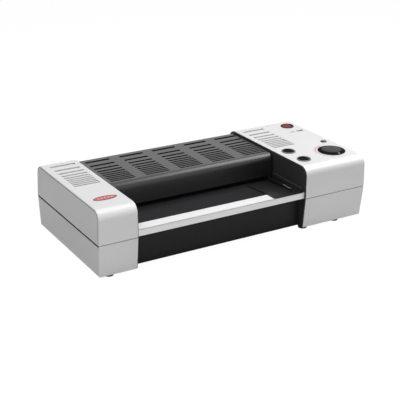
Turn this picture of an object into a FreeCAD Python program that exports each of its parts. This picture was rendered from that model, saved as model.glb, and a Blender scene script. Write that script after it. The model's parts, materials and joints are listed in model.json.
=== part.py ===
"""Pouch laminator: two silver blocks, a dark cover over the hot rollers between them, and a feed table.

Millimetres. The origin is on the standing surface under the middle of the machine.
+X runs to the controls block, +Y to the back where the pouch comes out, +Z up.
"""
import FreeCAD, Part
import math
import os
import re
import Sketcher
from fcgear import fcgear, involute

sizes = {
    # casing
    "throat_width": 336, "left_block_width": 73, "right_block_width": 137, "case_depth": 256,
    "foot_height": 3.5, "lower_height": 58.5, "upper_height": 58, "shell_wall": 2.5, "top_wall": 3.6,
    "top_round": 17, "corner_round": 2, "end_lean": 1.6, "top_set_in": 1.4, "front_tuck": 4.7,
    "back_tuck": 3.8, "inner_bevel": 8, "end_groove": 3.5, "slit_margin": 4, "face_groove": 1.2,
    "groove_depth": 1.2, "cut_over": 1,
    # air slots, whose spacing and width grow towards the back
    "slot_first": 18.5, "slot_step": 7.6, "slot_spread": 0.00535, "slot_width": 4.2,
    "slot_growth": 0.033, "slot_rows": 10, "slot_length": 48, "slot_groups": 5, "slot_pitch": 68.3,
    "slot_shift": 1.5, "blind_slot_depth": 2.2, "left_slots_centre": 38, "right_slots_centre": 37,
    # cheeks that close the blocks towards the throat
    "cheek_thickness": 2, "left_cheek_set_in": 2.2, "window_inset": 6, "window_back_gap": 14,
    "window_rise": 20.5, "window_drop": 15, "ledge_reach": 1.5, "ledge_height": 7, "ledge_round": 1.3,
    "ledge_front_gap": 10, "ledge_back_gap": 1,
    # cover
    "cover_drop": 3.5, "cover_depth": 144, "cover_back_gap": 9, "cover_lip": 1, "cover_gap": 1,
    "cover_nose": 12, "cover_tail": 10.5, "nose_bevel": 5.5, "tail_bevel": 5.5, "cover_end_round": 2.5,
    "cover_wall": 2.5, "cover_end_wall": 3.5, "cover_end_depth": 11.5, "cover_post": 6,
    "cover_post_bite": 0.4, "post_spread": 118,
    # feed side
    "rail_height": 11, "rail_depth": 25, "rail_set_back": 3, "rail_wall": 2.5, "rail_foot": 17,
    "rail_groove": 1.6, "rail_groove_depth": 1.3, "rail_groove_set_back": 1.8, "table_wall": 2.5,
    "table_step": 0.2, "table_reach": 24, "nip_rise": 5, "mouth_floor": 1, "panel_set_back": 16,
    "panel_slope": 2.5, "panel_wall": 2.5, "panel_lift": 0.5, "panel_foot": 20,
    "rear_panel_set_back": 4, "rear_panel_foot": 32, "lip_length": 26, "lip_ramp": 8, "lip_fall": 2.5,
    "guide_width": 62, "guide_plate": 1.4, "guide_gap": 0.2, "guide_side_gap": 0.3, "guide_back_gap": 9,
    "guide_rise": 0.3, "fence_thickness": 2, "fence_inset": 15.2, "fence_height": 5.4,
    "fence_front_inset": 16, "fence_back_gap": 11, "hook_slack": 0.3, "guide_corner": 4,
    # underside
    "base_margin": 8, "base_plate_thickness": 1.5, "base_slack": 0.4, "foot_diameter": 16,
    "foot_inset": 14, "peg_diameter": 5, "peg_height": 4.5, "peg_slack": 0.1, "foot_end_inset": 23,
    "foot_throat_inset": 8, "foot_far_inset": 57, "shell_post": 9, "post_end_inset": 36,
    "post_far_inset": 15, "post_throat_inset": 24, "post_row_inset": 24, "post_bite": 1,
    "case_screw_diameter": 3.5, "case_screw_length": 16, "case_screw_head": 7,
    "case_screw_head_height": 2.2, "screw_slack": 0.05, "screw_end_gap": 1,
    # controls on the right block, columns from its ends and rows from the front
    "rocker_column": 25.5, "mode_rocker_row": 91, "reverse_rocker_row": 43, "knob_inset": 38,
    "knob_row": 56, "lamp_inset": 18.5, "lamp_row": 105, "power_inset": 24.5, "power_back_gap": 40,
    "bezel_diameter": 26.4, "bezel_height": 1.8, "switch_body": 24.2, "switch_hole_slack": 0.2,
    "switch_depth": 14, "switch_well": 22.6, "switch_floor": 4, "rocker_diameter": 21, "rocker_tilt": 8,
    "rocker_pivot_drop": 3.8, "rocker_valley": 3.4, "rocker_belly": 5, "rocker_flank": 3,
    "blade_width": 4.8, "blade_thickness": 0.8, "blade_spacing": 7, "blade_bite": 1,
    "knob_diameter": 51.6, "knob_height": 3, "knob_gap": 0.4, "knob_skirt": 0.7, "knob_taper": 6,
    "knob_bevel": 0.5, "stem_diameter": 6, "stem_slack": 0.05, "stem_length": 14, "control_hole": 8,
    "control_body": 17, "control_height": 8, "control_bush": 7, "lamp_diameter": 7, "lamp_bezel": 12,
    "lamp_bezel_height": 1, "lamp_tube": 9.4, "lamp_depth": 8, "lamp_dome": 0.9, "badge_length": 43,
    "badge_width": 16, "badge_thickness": 0.6, "badge_column": 37.5, "badge_row": 51,
    # boards
    "board_thickness": 1.6, "control_board_drop": 20, "control_board_start": 14,
    "control_board_end_gap": 11, "control_board_front": 32, "control_board_back": 116, "board_post": 6,
    "board_post_inset": 32, "power_board_start": 24, "power_board_end_gap": 13, "power_board_front": 58,
    "power_board_back_gap": 68, "standoff_height": 6, "standoff_diameter": 6, "standoff_inset": 6,
    "ribbon_width": 20, "ribbon_thickness": 1.2, "ribbon_inset": 22, "ribbon_bow": 8, "ribbon_row": 88,
    "ribbon_bend": 6, "ribbon_lead": 16, "header_height": 8, "header_depth": 5, "transformer_width": 42,
    "transformer_depth": 35, "transformer_height": 30, "transformer_inset": 12, "relay_width": 15.5,
    "relay_depth": 19, "relay_height": 15, "relay_inset": 60, "relay_spacing": 22, "fuse_width": 30,
    "fuse_depth": 12, "fuse_height": 14, "fuse_inset": 14, "fuse_row": 94, "terminal_width": 24,
    "terminal_depth": 10, "terminal_height": 24, "terminal_inset": 54, "terminal_row": 90,
    "small_can_diameter": 12, "small_can_height": 20, "small_can_spacing": 16, "small_can_row": 60,
    "large_can_diameter": 16, "large_can_height": 25, "large_can_row": 80, "can_inset": 20,
    # mains inlet
    "inlet_inset": 58, "inlet_rise": 30.5, "inlet_flange_width": 33, "inlet_flange_height": 25,
    "inlet_flange": 1.8, "inlet_width": 27.4, "inlet_height": 19.8, "inlet_depth": 20,
    "inlet_well_width": 24.4, "inlet_well_height": 16.8, "inlet_well_depth": 16, "inlet_bevel": 5,
    "inlet_slack": 0.1, "inlet_recess": 1, "inlet_boss": 3.5, "inlet_boss_margin": 4, "pin_width": 2,
    "pin_height": 4, "pin_spacing": 7, "pin_offset": 2, "pin_tail": 6, "pin_set_back": 3,
    # frame and rollers
    "frame_thickness": 1.5, "frame_inset": 1, "frame_back_gap": 10, "frame_top": 12, "frame_flange": 12,
    "frame_corner": 14, "front_roller_inset": 35, "roller_spacing": 78.4, "roller_diameter": 25,
    "nip_gap": 0.3, "roller_core": 12, "journal_diameter": 8, "journal_slack": 0.03,
    "roller_side_gap": 4, "journal_overrun": 6, "bush_diameter": 12, "bush_flange_diameter": 16,
    "bush_flange": 1.2, "bush_length": 4, "bush_lead": 0.5, "spring_diameter": 8, "spring_wire": 1,
    "spring_turns": 5, "spring_slot": 8.6, "spring_top": 6, "bar_width": 9, "bar_height": 8,
    "front_bar_inset": 7, "rear_bar_inset": 16, "bar_drop": 16, "low_bar_rise": 20,
    "frame_screw_diameter": 4, "frame_screw_length": 10, "frame_screw_head": 7,
    "frame_screw_head_height": 2.4, "guide_sheet": 1.2, "guide_lip_depth": 13, "guide_lip_fall": 4.8,
    # drive
    "gear_teeth": 25, "idler_teeth": 53, "pinion_teeth": 15, "gear_pressure_angle": 20,
    "gear_offset": 5.5, "gear_face": 6, "gear_slack": 0.2, "idler_pin_diameter": 6, "idler_slack": 0.05,
    "gear_end_gap": 1.5, "motor_diameter": 50, "motor_length": 30, "motor_plate_thickness": 1.5,
    "motor_plate_half_width": 30, "motor_plate_above": 24, "motor_plate_below": 6, "spacer_diameter": 6,
    "spacer_side": 21.2, "spacer_rise": 7.5, "motor_shaft": 5, "motor_shaft_hole": 8,
    "motor_shaft_depth": 3, "motor_boss": 8, "motor_can": 34, "shaft_end_gap": 1,
    # heat
    "heater_width": 44, "heater_thickness": 5, "heater_gap": 1.5, "heater_rim": 3,
    "heater_rim_height": 8, "element_width": 30, "element_thickness": 3, "element_margin": 12,
}

doc = FreeCAD.newDocument("PouchLaminator")
sheet = doc.addObject("Spreadsheet::Sheet", "Sizes")
for row, (alias, size) in enumerate(sizes.items(), start=1):
    sheet.set(f"A{row}", alias)
    sheet.set(f"B{row}", str(size))
    sheet.setAlias(f"B{row}", alias)
doc.recompute()

nodes = {}
leastCut = 1e-4
tolerance = 0.01

# places that several pieces share
halfWidth = "((left_block_width + throat_width + right_block_width) / 2)"
left = f"(-{halfWidth})"
right = halfWidth
throatLeft = f"({left} + left_block_width)"
throatRight = f"({right} - right_block_width)"
throatMiddle = f"(({throatLeft} + {throatRight}) / 2)"
leftInner = f"({throatLeft} - cheek_thickness)"
rightInner = f"({throatRight} + cheek_thickness)"
front = "(-case_depth / 2)"
back = "(case_depth / 2)"
under = "foot_height"
floorTop = "(foot_height + shell_wall)"
plateTop = f"({floorTop} + base_plate_thickness)"
seam = "(foot_height + lower_height)"
top = f"({seam} + upper_height)"
ceiling = f"({top} - top_wall)"
coverTop = f"({top} - cover_drop)"
coverCeiling = f"({coverTop} - cover_wall)"
railTop = f"({seam} + rail_height)"
railFront = f"({front} + rail_set_back)"
railBack = f"({railFront} + rail_depth)"
coverBack = f"({back} - cover_back_gap)"
coverFront = f"({coverBack} - cover_depth)"
postHalf = "(case_depth / 2 - post_row_inset)"
baseHalf = f"({postHalf} - base_margin)"
lipBottom = f"({railTop} + cover_lip)"
nip = f"({seam} + nip_rise)"
tableFloor = f"({nip} - mouth_floor)"
lowerRoller = f"({nip} - nip_gap / 2 - roller_diameter / 2)"
upperRoller = f"({nip} + nip_gap / 2 + roller_diameter / 2)"
frontRoller = f"({coverFront} + front_roller_inset)"
rearRoller = f"({frontRoller} + roller_spacing)"
idlerRow = f"({frontRoller} + roller_spacing / 2)"
frontBar = f"({coverFront} + front_bar_inset)"
rearBar = f"({coverBack} - rear_bar_inset)"
lowBar = f"({idlerRow} - bar_width / 2)"
frameFront = f"({coverFront} + frame_inset)"
frameBack = f"({back} - frame_back_gap)"
motorRise = f"({lowerRoller} + (idler_teeth + pinion_teeth) / 2 + gear_slack)"
leftFrame = f"({leftInner} - frame_thickness)"
rightFrame = f"({rightInner} + frame_thickness)"
frameTop = f"({top} - frame_top)"
barBottom = f"({top} - bar_drop - bar_height)"
barTop = f"({top} - bar_drop)"
gearStart = f"({rightInner} + gear_offset)"
gearEnd = f"({gearStart} + gear_face)"
motorPlate = f"({gearEnd} + gear_end_gap)"
motorFace = f"({motorPlate} + motor_plate_thickness)"
controlBoardTop = f"({top} - control_board_drop)"
controlBoardStart = f"({throatRight} + control_board_start)"
controlBoardEnd = f"({right} - control_board_end_gap)"
controlBoardFront = f"({front} + control_board_front)"
controlBoardBack = f"({front} + control_board_back)"
ribbonColumn = f"({right} - ribbon_inset)"
ribbonRow = f"({front} + ribbon_row)"
powerBoardBottom = f"({plateTop} + standoff_height)"
powerBoardTop = f"({powerBoardBottom} + board_thickness)"
leftPosts = [f"({left} + post_end_inset)"]
rightPosts = [f"({throatRight} + post_throat_inset)", f"({right} - post_far_inset)"]
leftFeet = [f"({left} + foot_end_inset)"]
rightFeet = [f"({throatRight} + foot_throat_inset)", f"({right} - foot_far_inset)"]
postRows = [f"(-{postHalf})", postHalf]
footRows = [f"({front} + foot_inset)", f"({back} - foot_inset)"]
slotNumbers = range(sizes["slot_rows"])
slotRows = [f"({coverFront} + slot_first + slot_step * {row} + slot_spread * {row ** 4})"
            for row in slotNumbers]
slotHalves = [f"((slot_width + slot_growth * {row ** 2}) / 2)" for row in slotNumbers]


def formula(text):
    """An expression with every size name pointed at its cell."""
    return re.sub(r"[a-z]+(?:_[a-z]+)+", lambda name: f"Sizes.{name.group()}", text)


def measure(text):
    """The value of an expression as a plain number."""
    return float(sheet.evalExpression(formula(text)))


def bind(thing, **properties):
    """Tie properties to expressions; a double underscore stands for the dot of a nested one."""
    for name, text in properties.items():
        thing.setExpression(name.replace("__", "."), formula(text))
    return thing


def node(label, thing):
    """Name a finished sub-part, which also names its file."""
    thing.Label = label
    nodes[label] = thing
    return thing


# part design

def newBody(name):
    return doc.addObject("PartDesign::Body", name + "_body")


def sketchOn(body, plane, offset="0"):
    """A sketch on one of the body's origin planes, moved along that plane's normal."""
    sketch = body.newObject("Sketcher::SketchObject", body.Name + "_sketch")
    origin = body.Origin.OriginFeatures
    sketch.AttachmentSupport = [(next(item for item in origin if item.Role == plane + "_Plane"), "")]
    sketch.MapMode = "FlatFace"
    return bind(sketch, AttachmentOffset__Base__z=offset)


def hold(sketch, kind, *constraint):
    """A dimension of a sketch, held at an expression."""
    *geometry, text = constraint
    index = sketch.addConstraint(Sketcher.Constraint(kind, *geometry, measure(text)))
    sketch.setExpression(f"Constraints[{index}]", formula(text))


def outline(sketch, corners):
    """A closed outline of straight lines through corners given as pairs of expressions."""
    places = [FreeCAD.Vector(measure(across), measure(along), 0) for across, along in corners]
    lines = [
        sketch.addGeometry(Part.LineSegment(start, end), False)
        for start, end in zip(places, places[1:] + places[:1])
    ]
    for line, (across, along) in zip(lines, corners):
        hold(sketch, "DistanceX", -1, 1, line, 1, across)
        hold(sketch, "DistanceY", -1, 1, line, 1, along)
    for line, following in zip(lines, lines[1:] + lines[:1]):
        sketch.addConstraint(Sketcher.Constraint("Coincident", line, 2, following, 1))
    return sketch


def rectangle(sketch, across, along):
    """A rectangle between a pair of expressions each way."""
    (start, end), (low, high) = across, along
    return outline(sketch, [(start, low), (end, low), (end, high), (start, high)])


def circle(sketch, across, along, diameter):
    centre = FreeCAD.Vector(measure(across), measure(along), 0)
    ring = sketch.addGeometry(Part.Circle(centre, FreeCAD.Vector(0, 0, 1), measure(diameter) / 2), False)
    hold(sketch, "Diameter", ring, diameter)
    hold(sketch, "DistanceX", -1, 1, ring, 3, across)
    hold(sketch, "DistanceY", -1, 1, ring, 3, along)
    return sketch


def pad(body, sketch, length):
    """Add material from the sketch along its normal."""
    feature = body.newObject("PartDesign::Pad", body.Name + "_pad")
    feature.Profile = sketch
    bind(feature, Length=length)
    doc.recompute([body])
    return feature


def pocket(body, sketch, length, along=False):
    """Cut from the sketch against its normal, or along it."""
    before = body.Shape.Volume
    feature = body.newObject("PartDesign::Pocket", body.Name + "_pocket")
    feature.Profile = sketch
    feature.Reversed = along
    bind(feature, Length=length)
    doc.recompute([body])
    if body.Shape.Volume > before - leastCut:
        raise ValueError(f"{feature.Name} cuts nothing")
    return feature


def roundEdges(body, radius, chosen):
    """Fillet the edges of the body that the test picks by their two ends."""
    base = body.Tip
    names = []
    for number, edge in enumerate(base.Shape.Edges, start=1):
        if chosen(edge.Vertexes[0].Point, edge.Vertexes[-1].Point):
            names.append(f"Edge{number}")
    if not names:
        raise ValueError(f"{body.Name} has no such edges")
    feature = body.newObject("PartDesign::Fillet", body.Name + "_fillet")
    feature.Base = (base, names)
    bind(feature, Radius=radius)
    doc.recompute([body])
    if feature.Shape.isNull():
        raise ValueError(f"{feature.Name} failed")
    return feature


def close(value, other):
    return abs(value - other) < tolerance


def same(value, text):
    return close(value, measure(text))


def both(height, start, end):
    """Whether both ends of an edge lie at a height."""
    return same(start.z, height) and same(end.z, height)


def turned(label, profile, place):
    """A piece turned about an X axis at place, from (x, radius) corners."""
    body = newBody(label)
    sketch = outline(sketchOn(body, "XY"), profile)
    feature = body.newObject("PartDesign::Revolution", label + "_turn")
    feature.Profile = sketch
    feature.ReferenceAxis = (sketch, ["H_Axis"])
    feature.Angle = 360
    bind(body, Placement__Base__y=place[0], Placement__Base__z=place[1])
    doc.recompute([body])
    return node(label, body)


# primitives

def block(name, across, deep, high):
    """A box between pairs of expressions along X, Y and Z."""
    thing = doc.addObject("Part::Box", name)
    bind(thing, Length=f"{across[1]} - {across[0]}", Width=f"{deep[1]} - {deep[0]}",
         Height=f"{high[1]} - {high[0]}")
    return bind(thing, Placement__Base__x=across[0], Placement__Base__y=deep[0], Placement__Base__z=high[0])


def rod(name, diameter, across, deep, high):
    """A cylinder along whichever of X, Y and Z is given as a pair of expressions."""
    thing = doc.addObject("Part::Cylinder", name)
    spans = [across, deep, high]
    axis = next(index for index, span in enumerate(spans) if isinstance(span, tuple))
    start, end = spans[axis]
    turns = [FreeCAD.Rotation(0, 90, 0), FreeCAD.Rotation(0, 0, -90), FreeCAD.Rotation()]
    thing.Placement = FreeCAD.Placement(FreeCAD.Vector(), turns[axis])
    spans[axis] = start
    bind(thing, Radius=f"{diameter} / 2", Height=f"{end} - {start}")
    return bind(thing, Placement__Base__x=spans[0], Placement__Base__y=spans[1], Placement__Base__z=spans[2])


def cut(name, base, *tools):
    tool = tools[0]
    if len(tools) > 1:
        tool = doc.addObject("Part::MultiFuse", name + "_tools")
        tool.Shapes = list(tools)
    thing = doc.addObject("Part::Cut", name)
    thing.Base = base
    thing.Tool = tool
    return thing


def fuse(name, *pieces):
    thing = doc.addObject("Part::MultiFuse", name)
    thing.Shapes = list(pieces)
    return thing


def group(name, *pieces):
    """Several separate solids that share a node."""
    thing = doc.addObject("Part::Compound", name)
    thing.Links = list(pieces)
    return thing


# casing

def airSlots(body, height, across, depth):
    """The rows of slots in a top, spaced wider and cut wider towards the back."""
    sketch = sketchOn(body, "XY", height)
    for slotRow, half in zip(slotRows, slotHalves):
        rectangle(sketch, across, (f"({slotRow} - {half})", f"({slotRow} + {half})"))
    return pocket(body, sketch, depth)


def centredSpan(middle, length):
    return (f"({middle} - {length} / 2)", f"({middle} + {length} / 2)")


def leaned(body, outer, inner, profile, low, high, towards):
    """A profile in Y and Z carried from the inner to the outer end, whose end face leans in at its free edge.

    The lean goes from nothing at the height low to its whole at the height high.
    """
    start, end = (inner, outer) if towards == "1" else (outer, inner)
    pad(body, outline(sketchOn(body, "YZ", start), profile), f"({end} - {start})")
    beyond = f"({outer} + {towards} * end_lean)"
    return [(outer, low), (f"({outer} - {towards} * end_lean)", high), (beyond, high), (beyond, low)]


def leanEnd(body, wedge):
    """Cut the wedge off the end face over the whole depth."""
    pocket(body, outline(sketchOn(body, "XZ", f"(-{back})"), wedge), "case_depth", along=True)


def endEdge(outer, flatHeight):
    """A test for edges on a block's end face, apart from the one on its seam."""
    def test(start, end):
        reach = abs(measure(outer)) - measure("end_lean") - tolerance
        return abs(start.x) > reach and abs(end.x) > reach and not both(flatHeight, start, end)
    return test


def upperShell(label, outer, inner, slots, posts, towards):
    """Top half of a block: drafted faces, big front and back rounds, air slots and screw posts."""
    body = newBody(label)
    lean = f"({outer} - {towards} * end_lean)"
    topFront = f"({front} + top_set_in)"
    topBack = f"({back} - top_set_in)"
    profile = [(front, seam), (back, seam), (topBack, top), (topFront, top)]
    wedge = leaned(body, outer, inner, profile, seam, top, towards)
    roundEdges(body, "top_round", lambda a, b: both(top, a, b) and close(a.y, b.y))
    leanEnd(body, wedge)
    roundEdges(body, "corner_round", endEdge(outer, seam))
    room = outline(sketchOn(body, "YZ", inner), [
        (f"({front} + shell_wall)", f"({seam} - cut_over)"),
        (f"({topFront} + shell_wall)", f"({ceiling} - inner_bevel)"),
        (f"({topFront} + shell_wall + inner_bevel)", ceiling),
        (f"({topBack} - shell_wall - inner_bevel)", ceiling),
        (f"({topBack} - shell_wall)", f"({ceiling} - inner_bevel)"),
        (f"({back} - shell_wall)", f"({seam} - cut_over)"),
    ])
    pocket(body, room, f"({towards} * ({lean} - {inner}) - shell_wall)", along=towards == "1")
    airSlots(body, top, slots, "blind_slot_depth")
    for column in posts:
        for postRow in postRows:
            pad(body, circle(sketchOn(body, "XY", floorTop), column, postRow, "shell_post"),
                f"({ceiling} - {floorTop} + post_bite)")
            pocket(body, circle(sketchOn(body, "XY", floorTop), column, postRow,
                                "(case_screw_diameter + 2 * screw_slack)"), "case_screw_length", along=True)
    return node(label, body)


def lowerShell(label, outer, inner, posts, feet, towards):
    """Bottom half of a block, with the shadow groove under the seam, screw holes and foot holes."""
    body = newBody(label)
    tucked = f"({outer} - {towards} * end_lean)"
    lowFront = f"({front} + front_tuck)"
    lowBack = f"({back} - back_tuck)"
    profile = [(lowFront, under), (lowBack, under), (back, seam), (front, seam)]
    leanEnd(body, leaned(body, outer, inner, profile, seam, under, towards))
    roundEdges(body, "corner_round", endEdge(outer, seam))
    room = outline(sketchOn(body, "YZ", inner), [
        (f"({front} + shell_wall)", f"({seam} + cut_over)"),
        (f"({lowFront} + shell_wall)", floorTop),
        (f"({lowBack} - shell_wall)", floorTop),
        (f"({back} - shell_wall)", f"({seam} + cut_over)"),
    ])
    pocket(body, room, f"({towards} * ({tucked} - {inner}) - shell_wall)", along=towards == "1")
    for near, far in ((front, f"({front} + groove_depth)"), (f"({back} - groove_depth)", back)):
        strip = rectangle(sketchOn(body, "XY", seam), (outer, inner), (near, far))
        pocket(body, strip, "face_groove")
    strip = rectangle(sketchOn(body, "XY", seam), (outer, f"({outer} - {towards} * groove_depth)"),
                      (front, back))
    pocket(body, strip, "end_groove")
    slitEnd = f"({outer} - {towards} * (end_lean + shell_wall + slit_margin))"
    slit = rectangle(sketchOn(body, "XY", seam), (outer, slitEnd),
                     (f"({front} + slit_margin)", f"({back} - slit_margin)"))
    pocket(body, slit, "end_groove")
    holes = sketchOn(body, "XY", under)
    for column in posts:
        for postRow in postRows:
            circle(holes, column, postRow, "(case_screw_diameter + 2 * screw_slack)")
    for column in feet:
        for footRow in footRows:
            circle(holes, column, footRow, "(peg_diameter + 2 * peg_slack)")
    pocket(body, holes, "shell_wall", along=True)
    return body


def controlHoles(body):
    """Openings in the right block's top for the switches, the knob's stem and the lamp."""
    sketch = sketchOn(body, "XY", top)
    for column, controlRow in switchPlaces.values():
        circle(sketch, column, controlRow, "(switch_body + 2 * switch_hole_slack)")
    circle(sketch, *knobPlace, "control_hole")
    circle(sketch, *lampPlace, "(lamp_tube + 2 * screw_slack)")
    pocket(body, sketch, "top_wall")


switchPlaces = {
    "mode": (f"({throatRight} + rocker_column)", f"({front} + mode_rocker_row)"),
    "reverse": (f"({throatRight} + rocker_column)", f"({front} + reverse_rocker_row)"),
    "power": (f"({right} - power_inset)", f"({back} - power_back_gap)"),
}
knobPlace = (f"({right} - knob_inset)", f"({front} + knob_row)")
lampPlace = (f"({right} - lamp_inset)", f"({front} + lamp_row)")
inletColumn = f"({right} - inlet_inset)"
inletHeight = f"({under} + inlet_rise)"
inletFace = f"({back} - back_tuck - inlet_recess)"
controlBoardPosts = [
    (column, boardRow)
    for column in (f"({controlBoardStart} + board_post_inset)", f"({controlBoardEnd} - board_post_inset)")
    for boardRow in (f"({controlBoardFront} + standoff_inset)", f"({controlBoardBack} - standoff_inset)")
]


def leftBlock():
    slots = centredSpan(f"({left} + left_slots_centre)", "slot_length")
    upperShell("left_upper_shell", left, leftInner, slots, leftPosts, "(-1)")
    node("left_lower_shell", lowerShell("left_lower_shell", left, leftInner, leftPosts, leftFeet, "(-1)"))


def rightBlock():
    slots = centredSpan(f"({throatRight} + right_slots_centre)", "slot_length")
    body = upperShell("right_upper_shell", right, rightInner, slots, rightPosts, "1")
    controlHoles(body)
    for column, boardRow in controlBoardPosts:
        pad(body, circle(sketchOn(body, "XY", controlBoardTop), column, boardRow, "board_post"),
            f"({ceiling} - {controlBoardTop} + post_bite)")
    body = lowerShell("right_lower_shell", right, rightInner, rightPosts, rightFeet, "1")
    inletSeat(body)
    node("right_lower_shell", body)


def inletSeat(body):
    """A boss behind the back wall, with the recess and the hole that take the mains inlet."""
    flangeAcross = centredSpan(inletColumn, "(inlet_flange_width + 2 * inlet_slack)")
    flangeHigh = centredSpan(inletHeight, "(inlet_flange_height + 2 * inlet_slack)")
    bossAcross = centredSpan(inletColumn, "(inlet_flange_width + 2 * inlet_boss_margin)")
    bossHigh = centredSpan(inletHeight, "(inlet_flange_height + 2 * inlet_boss_margin)")
    bossFace = f"({inletFace} - inlet_boss)"
    pad(body, rectangle(sketchOn(body, "XZ", f"(-{inletFace})"), bossAcross, bossHigh), "inlet_boss")
    pocket(body, rectangle(sketchOn(body, "XZ", f"(-{back})"), flangeAcross, flangeHigh),
           f"({back} - {inletFace})", along=True)
    hole = rectangle(sketchOn(body, "XZ", f"(-{inletFace})"),
                     centredSpan(inletColumn, "(inlet_width + 2 * inlet_slack)"),
                     centredSpan(inletHeight, "(inlet_height + 2 * inlet_slack)"))
    pocket(body, hole, f"({inletFace} - {bossFace})", along=True)


def cheek(label, inner, face, towards, setIn):
    """Dark wall between a block and the throat, with a window for the rollers behind the cover."""
    body = newBody(label)
    start = inner if towards == "1" else face
    near = f"({front} + {setIn})"
    far = f"({back} - {setIn})"
    high = f"({top} - {setIn})"
    wall = outline(sketchOn(body, "YZ", start), [
        (f"({near} + front_tuck)", under), (near, seam), (f"({near} + top_set_in)", high),
        (f"({far} - top_set_in)", high), (far, seam), (f"({far} - back_tuck)", under),
    ])
    pad(body, wall, "cheek_thickness")
    roundEdges(body, f"(top_round - {setIn})", lambda a, b: both(high, a, b) and close(a.y, b.y))
    window = rectangle(sketchOn(body, "YZ", start),
                       (f"({coverFront} + window_inset)", f"({back} - window_back_gap)"),
                       (f"({under} + window_rise)", f"({top} - window_drop)"))
    pocket(body, window, "cheek_thickness", along=True)
    notch = rectangle(sketchOn(body, "YZ", start),
                      (f"(-{baseHalf} - base_slack)", f"({baseHalf} + base_slack)"),
                      (under, f"({plateTop} + base_slack)"))
    pocket(body, notch, "cheek_thickness", along=True)
    ledgeStart = face if towards == "1" else f"({face} - ledge_reach)"
    ledgeTop = f"({railTop} + ledge_height)"
    ledge = rectangle(sketchOn(body, "YZ", ledgeStart),
                      (f"({front} + ledge_front_gap)", f"({coverFront} - ledge_back_gap)"), (railTop, ledgeTop))
    pad(body, ledge, "ledge_reach")
    proud = f"({face} + {towards} * ledge_reach)"
    roundEdges(body, "ledge_round", lambda a, b: both(ledgeTop, a, b) and same(a.x, proud) and same(b.x, proud))
    node(label, body)


def centreCover():
    """Dark cover over the rollers: rounded nose and tail, closed ends, five groups of air slots."""
    body = newBody("centre_cover")
    start = f"({throatLeft} + cover_gap)"
    end = f"({throatRight} - cover_gap)"
    pad(body, rectangle(sketchOn(body, "YZ", start), (coverFront, coverBack), (lipBottom, coverTop)),
        f"({end} - {start})")
    for radius, edgeRow in (("cover_nose", coverFront), ("cover_tail", coverBack)):
        roundEdges(body, radius, lambda a, b: both(coverTop, a, b) and same(a.y, edgeRow) and same(b.y, edgeRow))
    roundEdges(body, "cover_end_round", lambda a, b: close(a.x, b.x) and not both(lipBottom, a, b))
    roomFront = f"({coverFront} + cover_wall)"
    roomBack = f"({coverBack} - cover_wall)"
    roomLow = f"({lipBottom} - cut_over)"
    room = outline(sketchOn(body, "YZ", f"({start} + cover_end_wall)"), [
        (roomFront, roomLow), (roomFront, f"({coverCeiling} - nose_bevel)"),
        (f"({roomFront} + nose_bevel)", coverCeiling), (f"({roomBack} - tail_bevel)", coverCeiling),
        (roomBack, f"({coverCeiling} - tail_bevel)"), (roomBack, roomLow),
    ])
    pocket(body, room, f"({end} - {start} - 2 * cover_end_wall)", along=True)
    gateway = rectangle(sketchOn(body, "YZ", start), (roomFront, roomBack),
                        (roomLow, f"({coverTop} - cover_end_depth)"))
    pocket(body, gateway, f"({end} - {start})", along=True)
    posts = sketchOn(body, "XY", barTop)
    for column in (f"({throatMiddle} - post_spread)", f"({throatMiddle} + post_spread)"):
        for postRow in (f"({frontBar} + bar_width / 2)", f"({rearBar} + cover_post / 2)"):
            circle(posts, column, postRow, "cover_post")
    pad(body, posts, f"({coverCeiling} - {barTop} + cover_post_bite)")
    firstGroup = f"({throatMiddle} + slot_shift - (slot_groups - 1) / 2 * slot_pitch)"
    slots = airSlots(body, coverTop, centredSpan(firstGroup, "slot_length"), "cover_wall")
    groups = body.newObject("PartDesign::LinearPattern", "cover_slot_groups")
    groups.Originals = [slots]
    groups.Direction = (next(item for item in body.Origin.OriginFeatures if item.Role == "X_Axis"), [""])
    bind(groups, Length="(slot_groups - 1) * slot_pitch", Occurrences="slot_groups")
    body.Tip = groups
    node("centre_cover", body)


def alongThroat(label, corners, start=throatLeft, end=throatRight):
    """A profile in Y and Z carried straight across the throat."""
    body = newBody(label)
    pad(body, outline(sketchOn(body, "YZ", start), corners), f"({end} - {start})")
    return body


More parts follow.
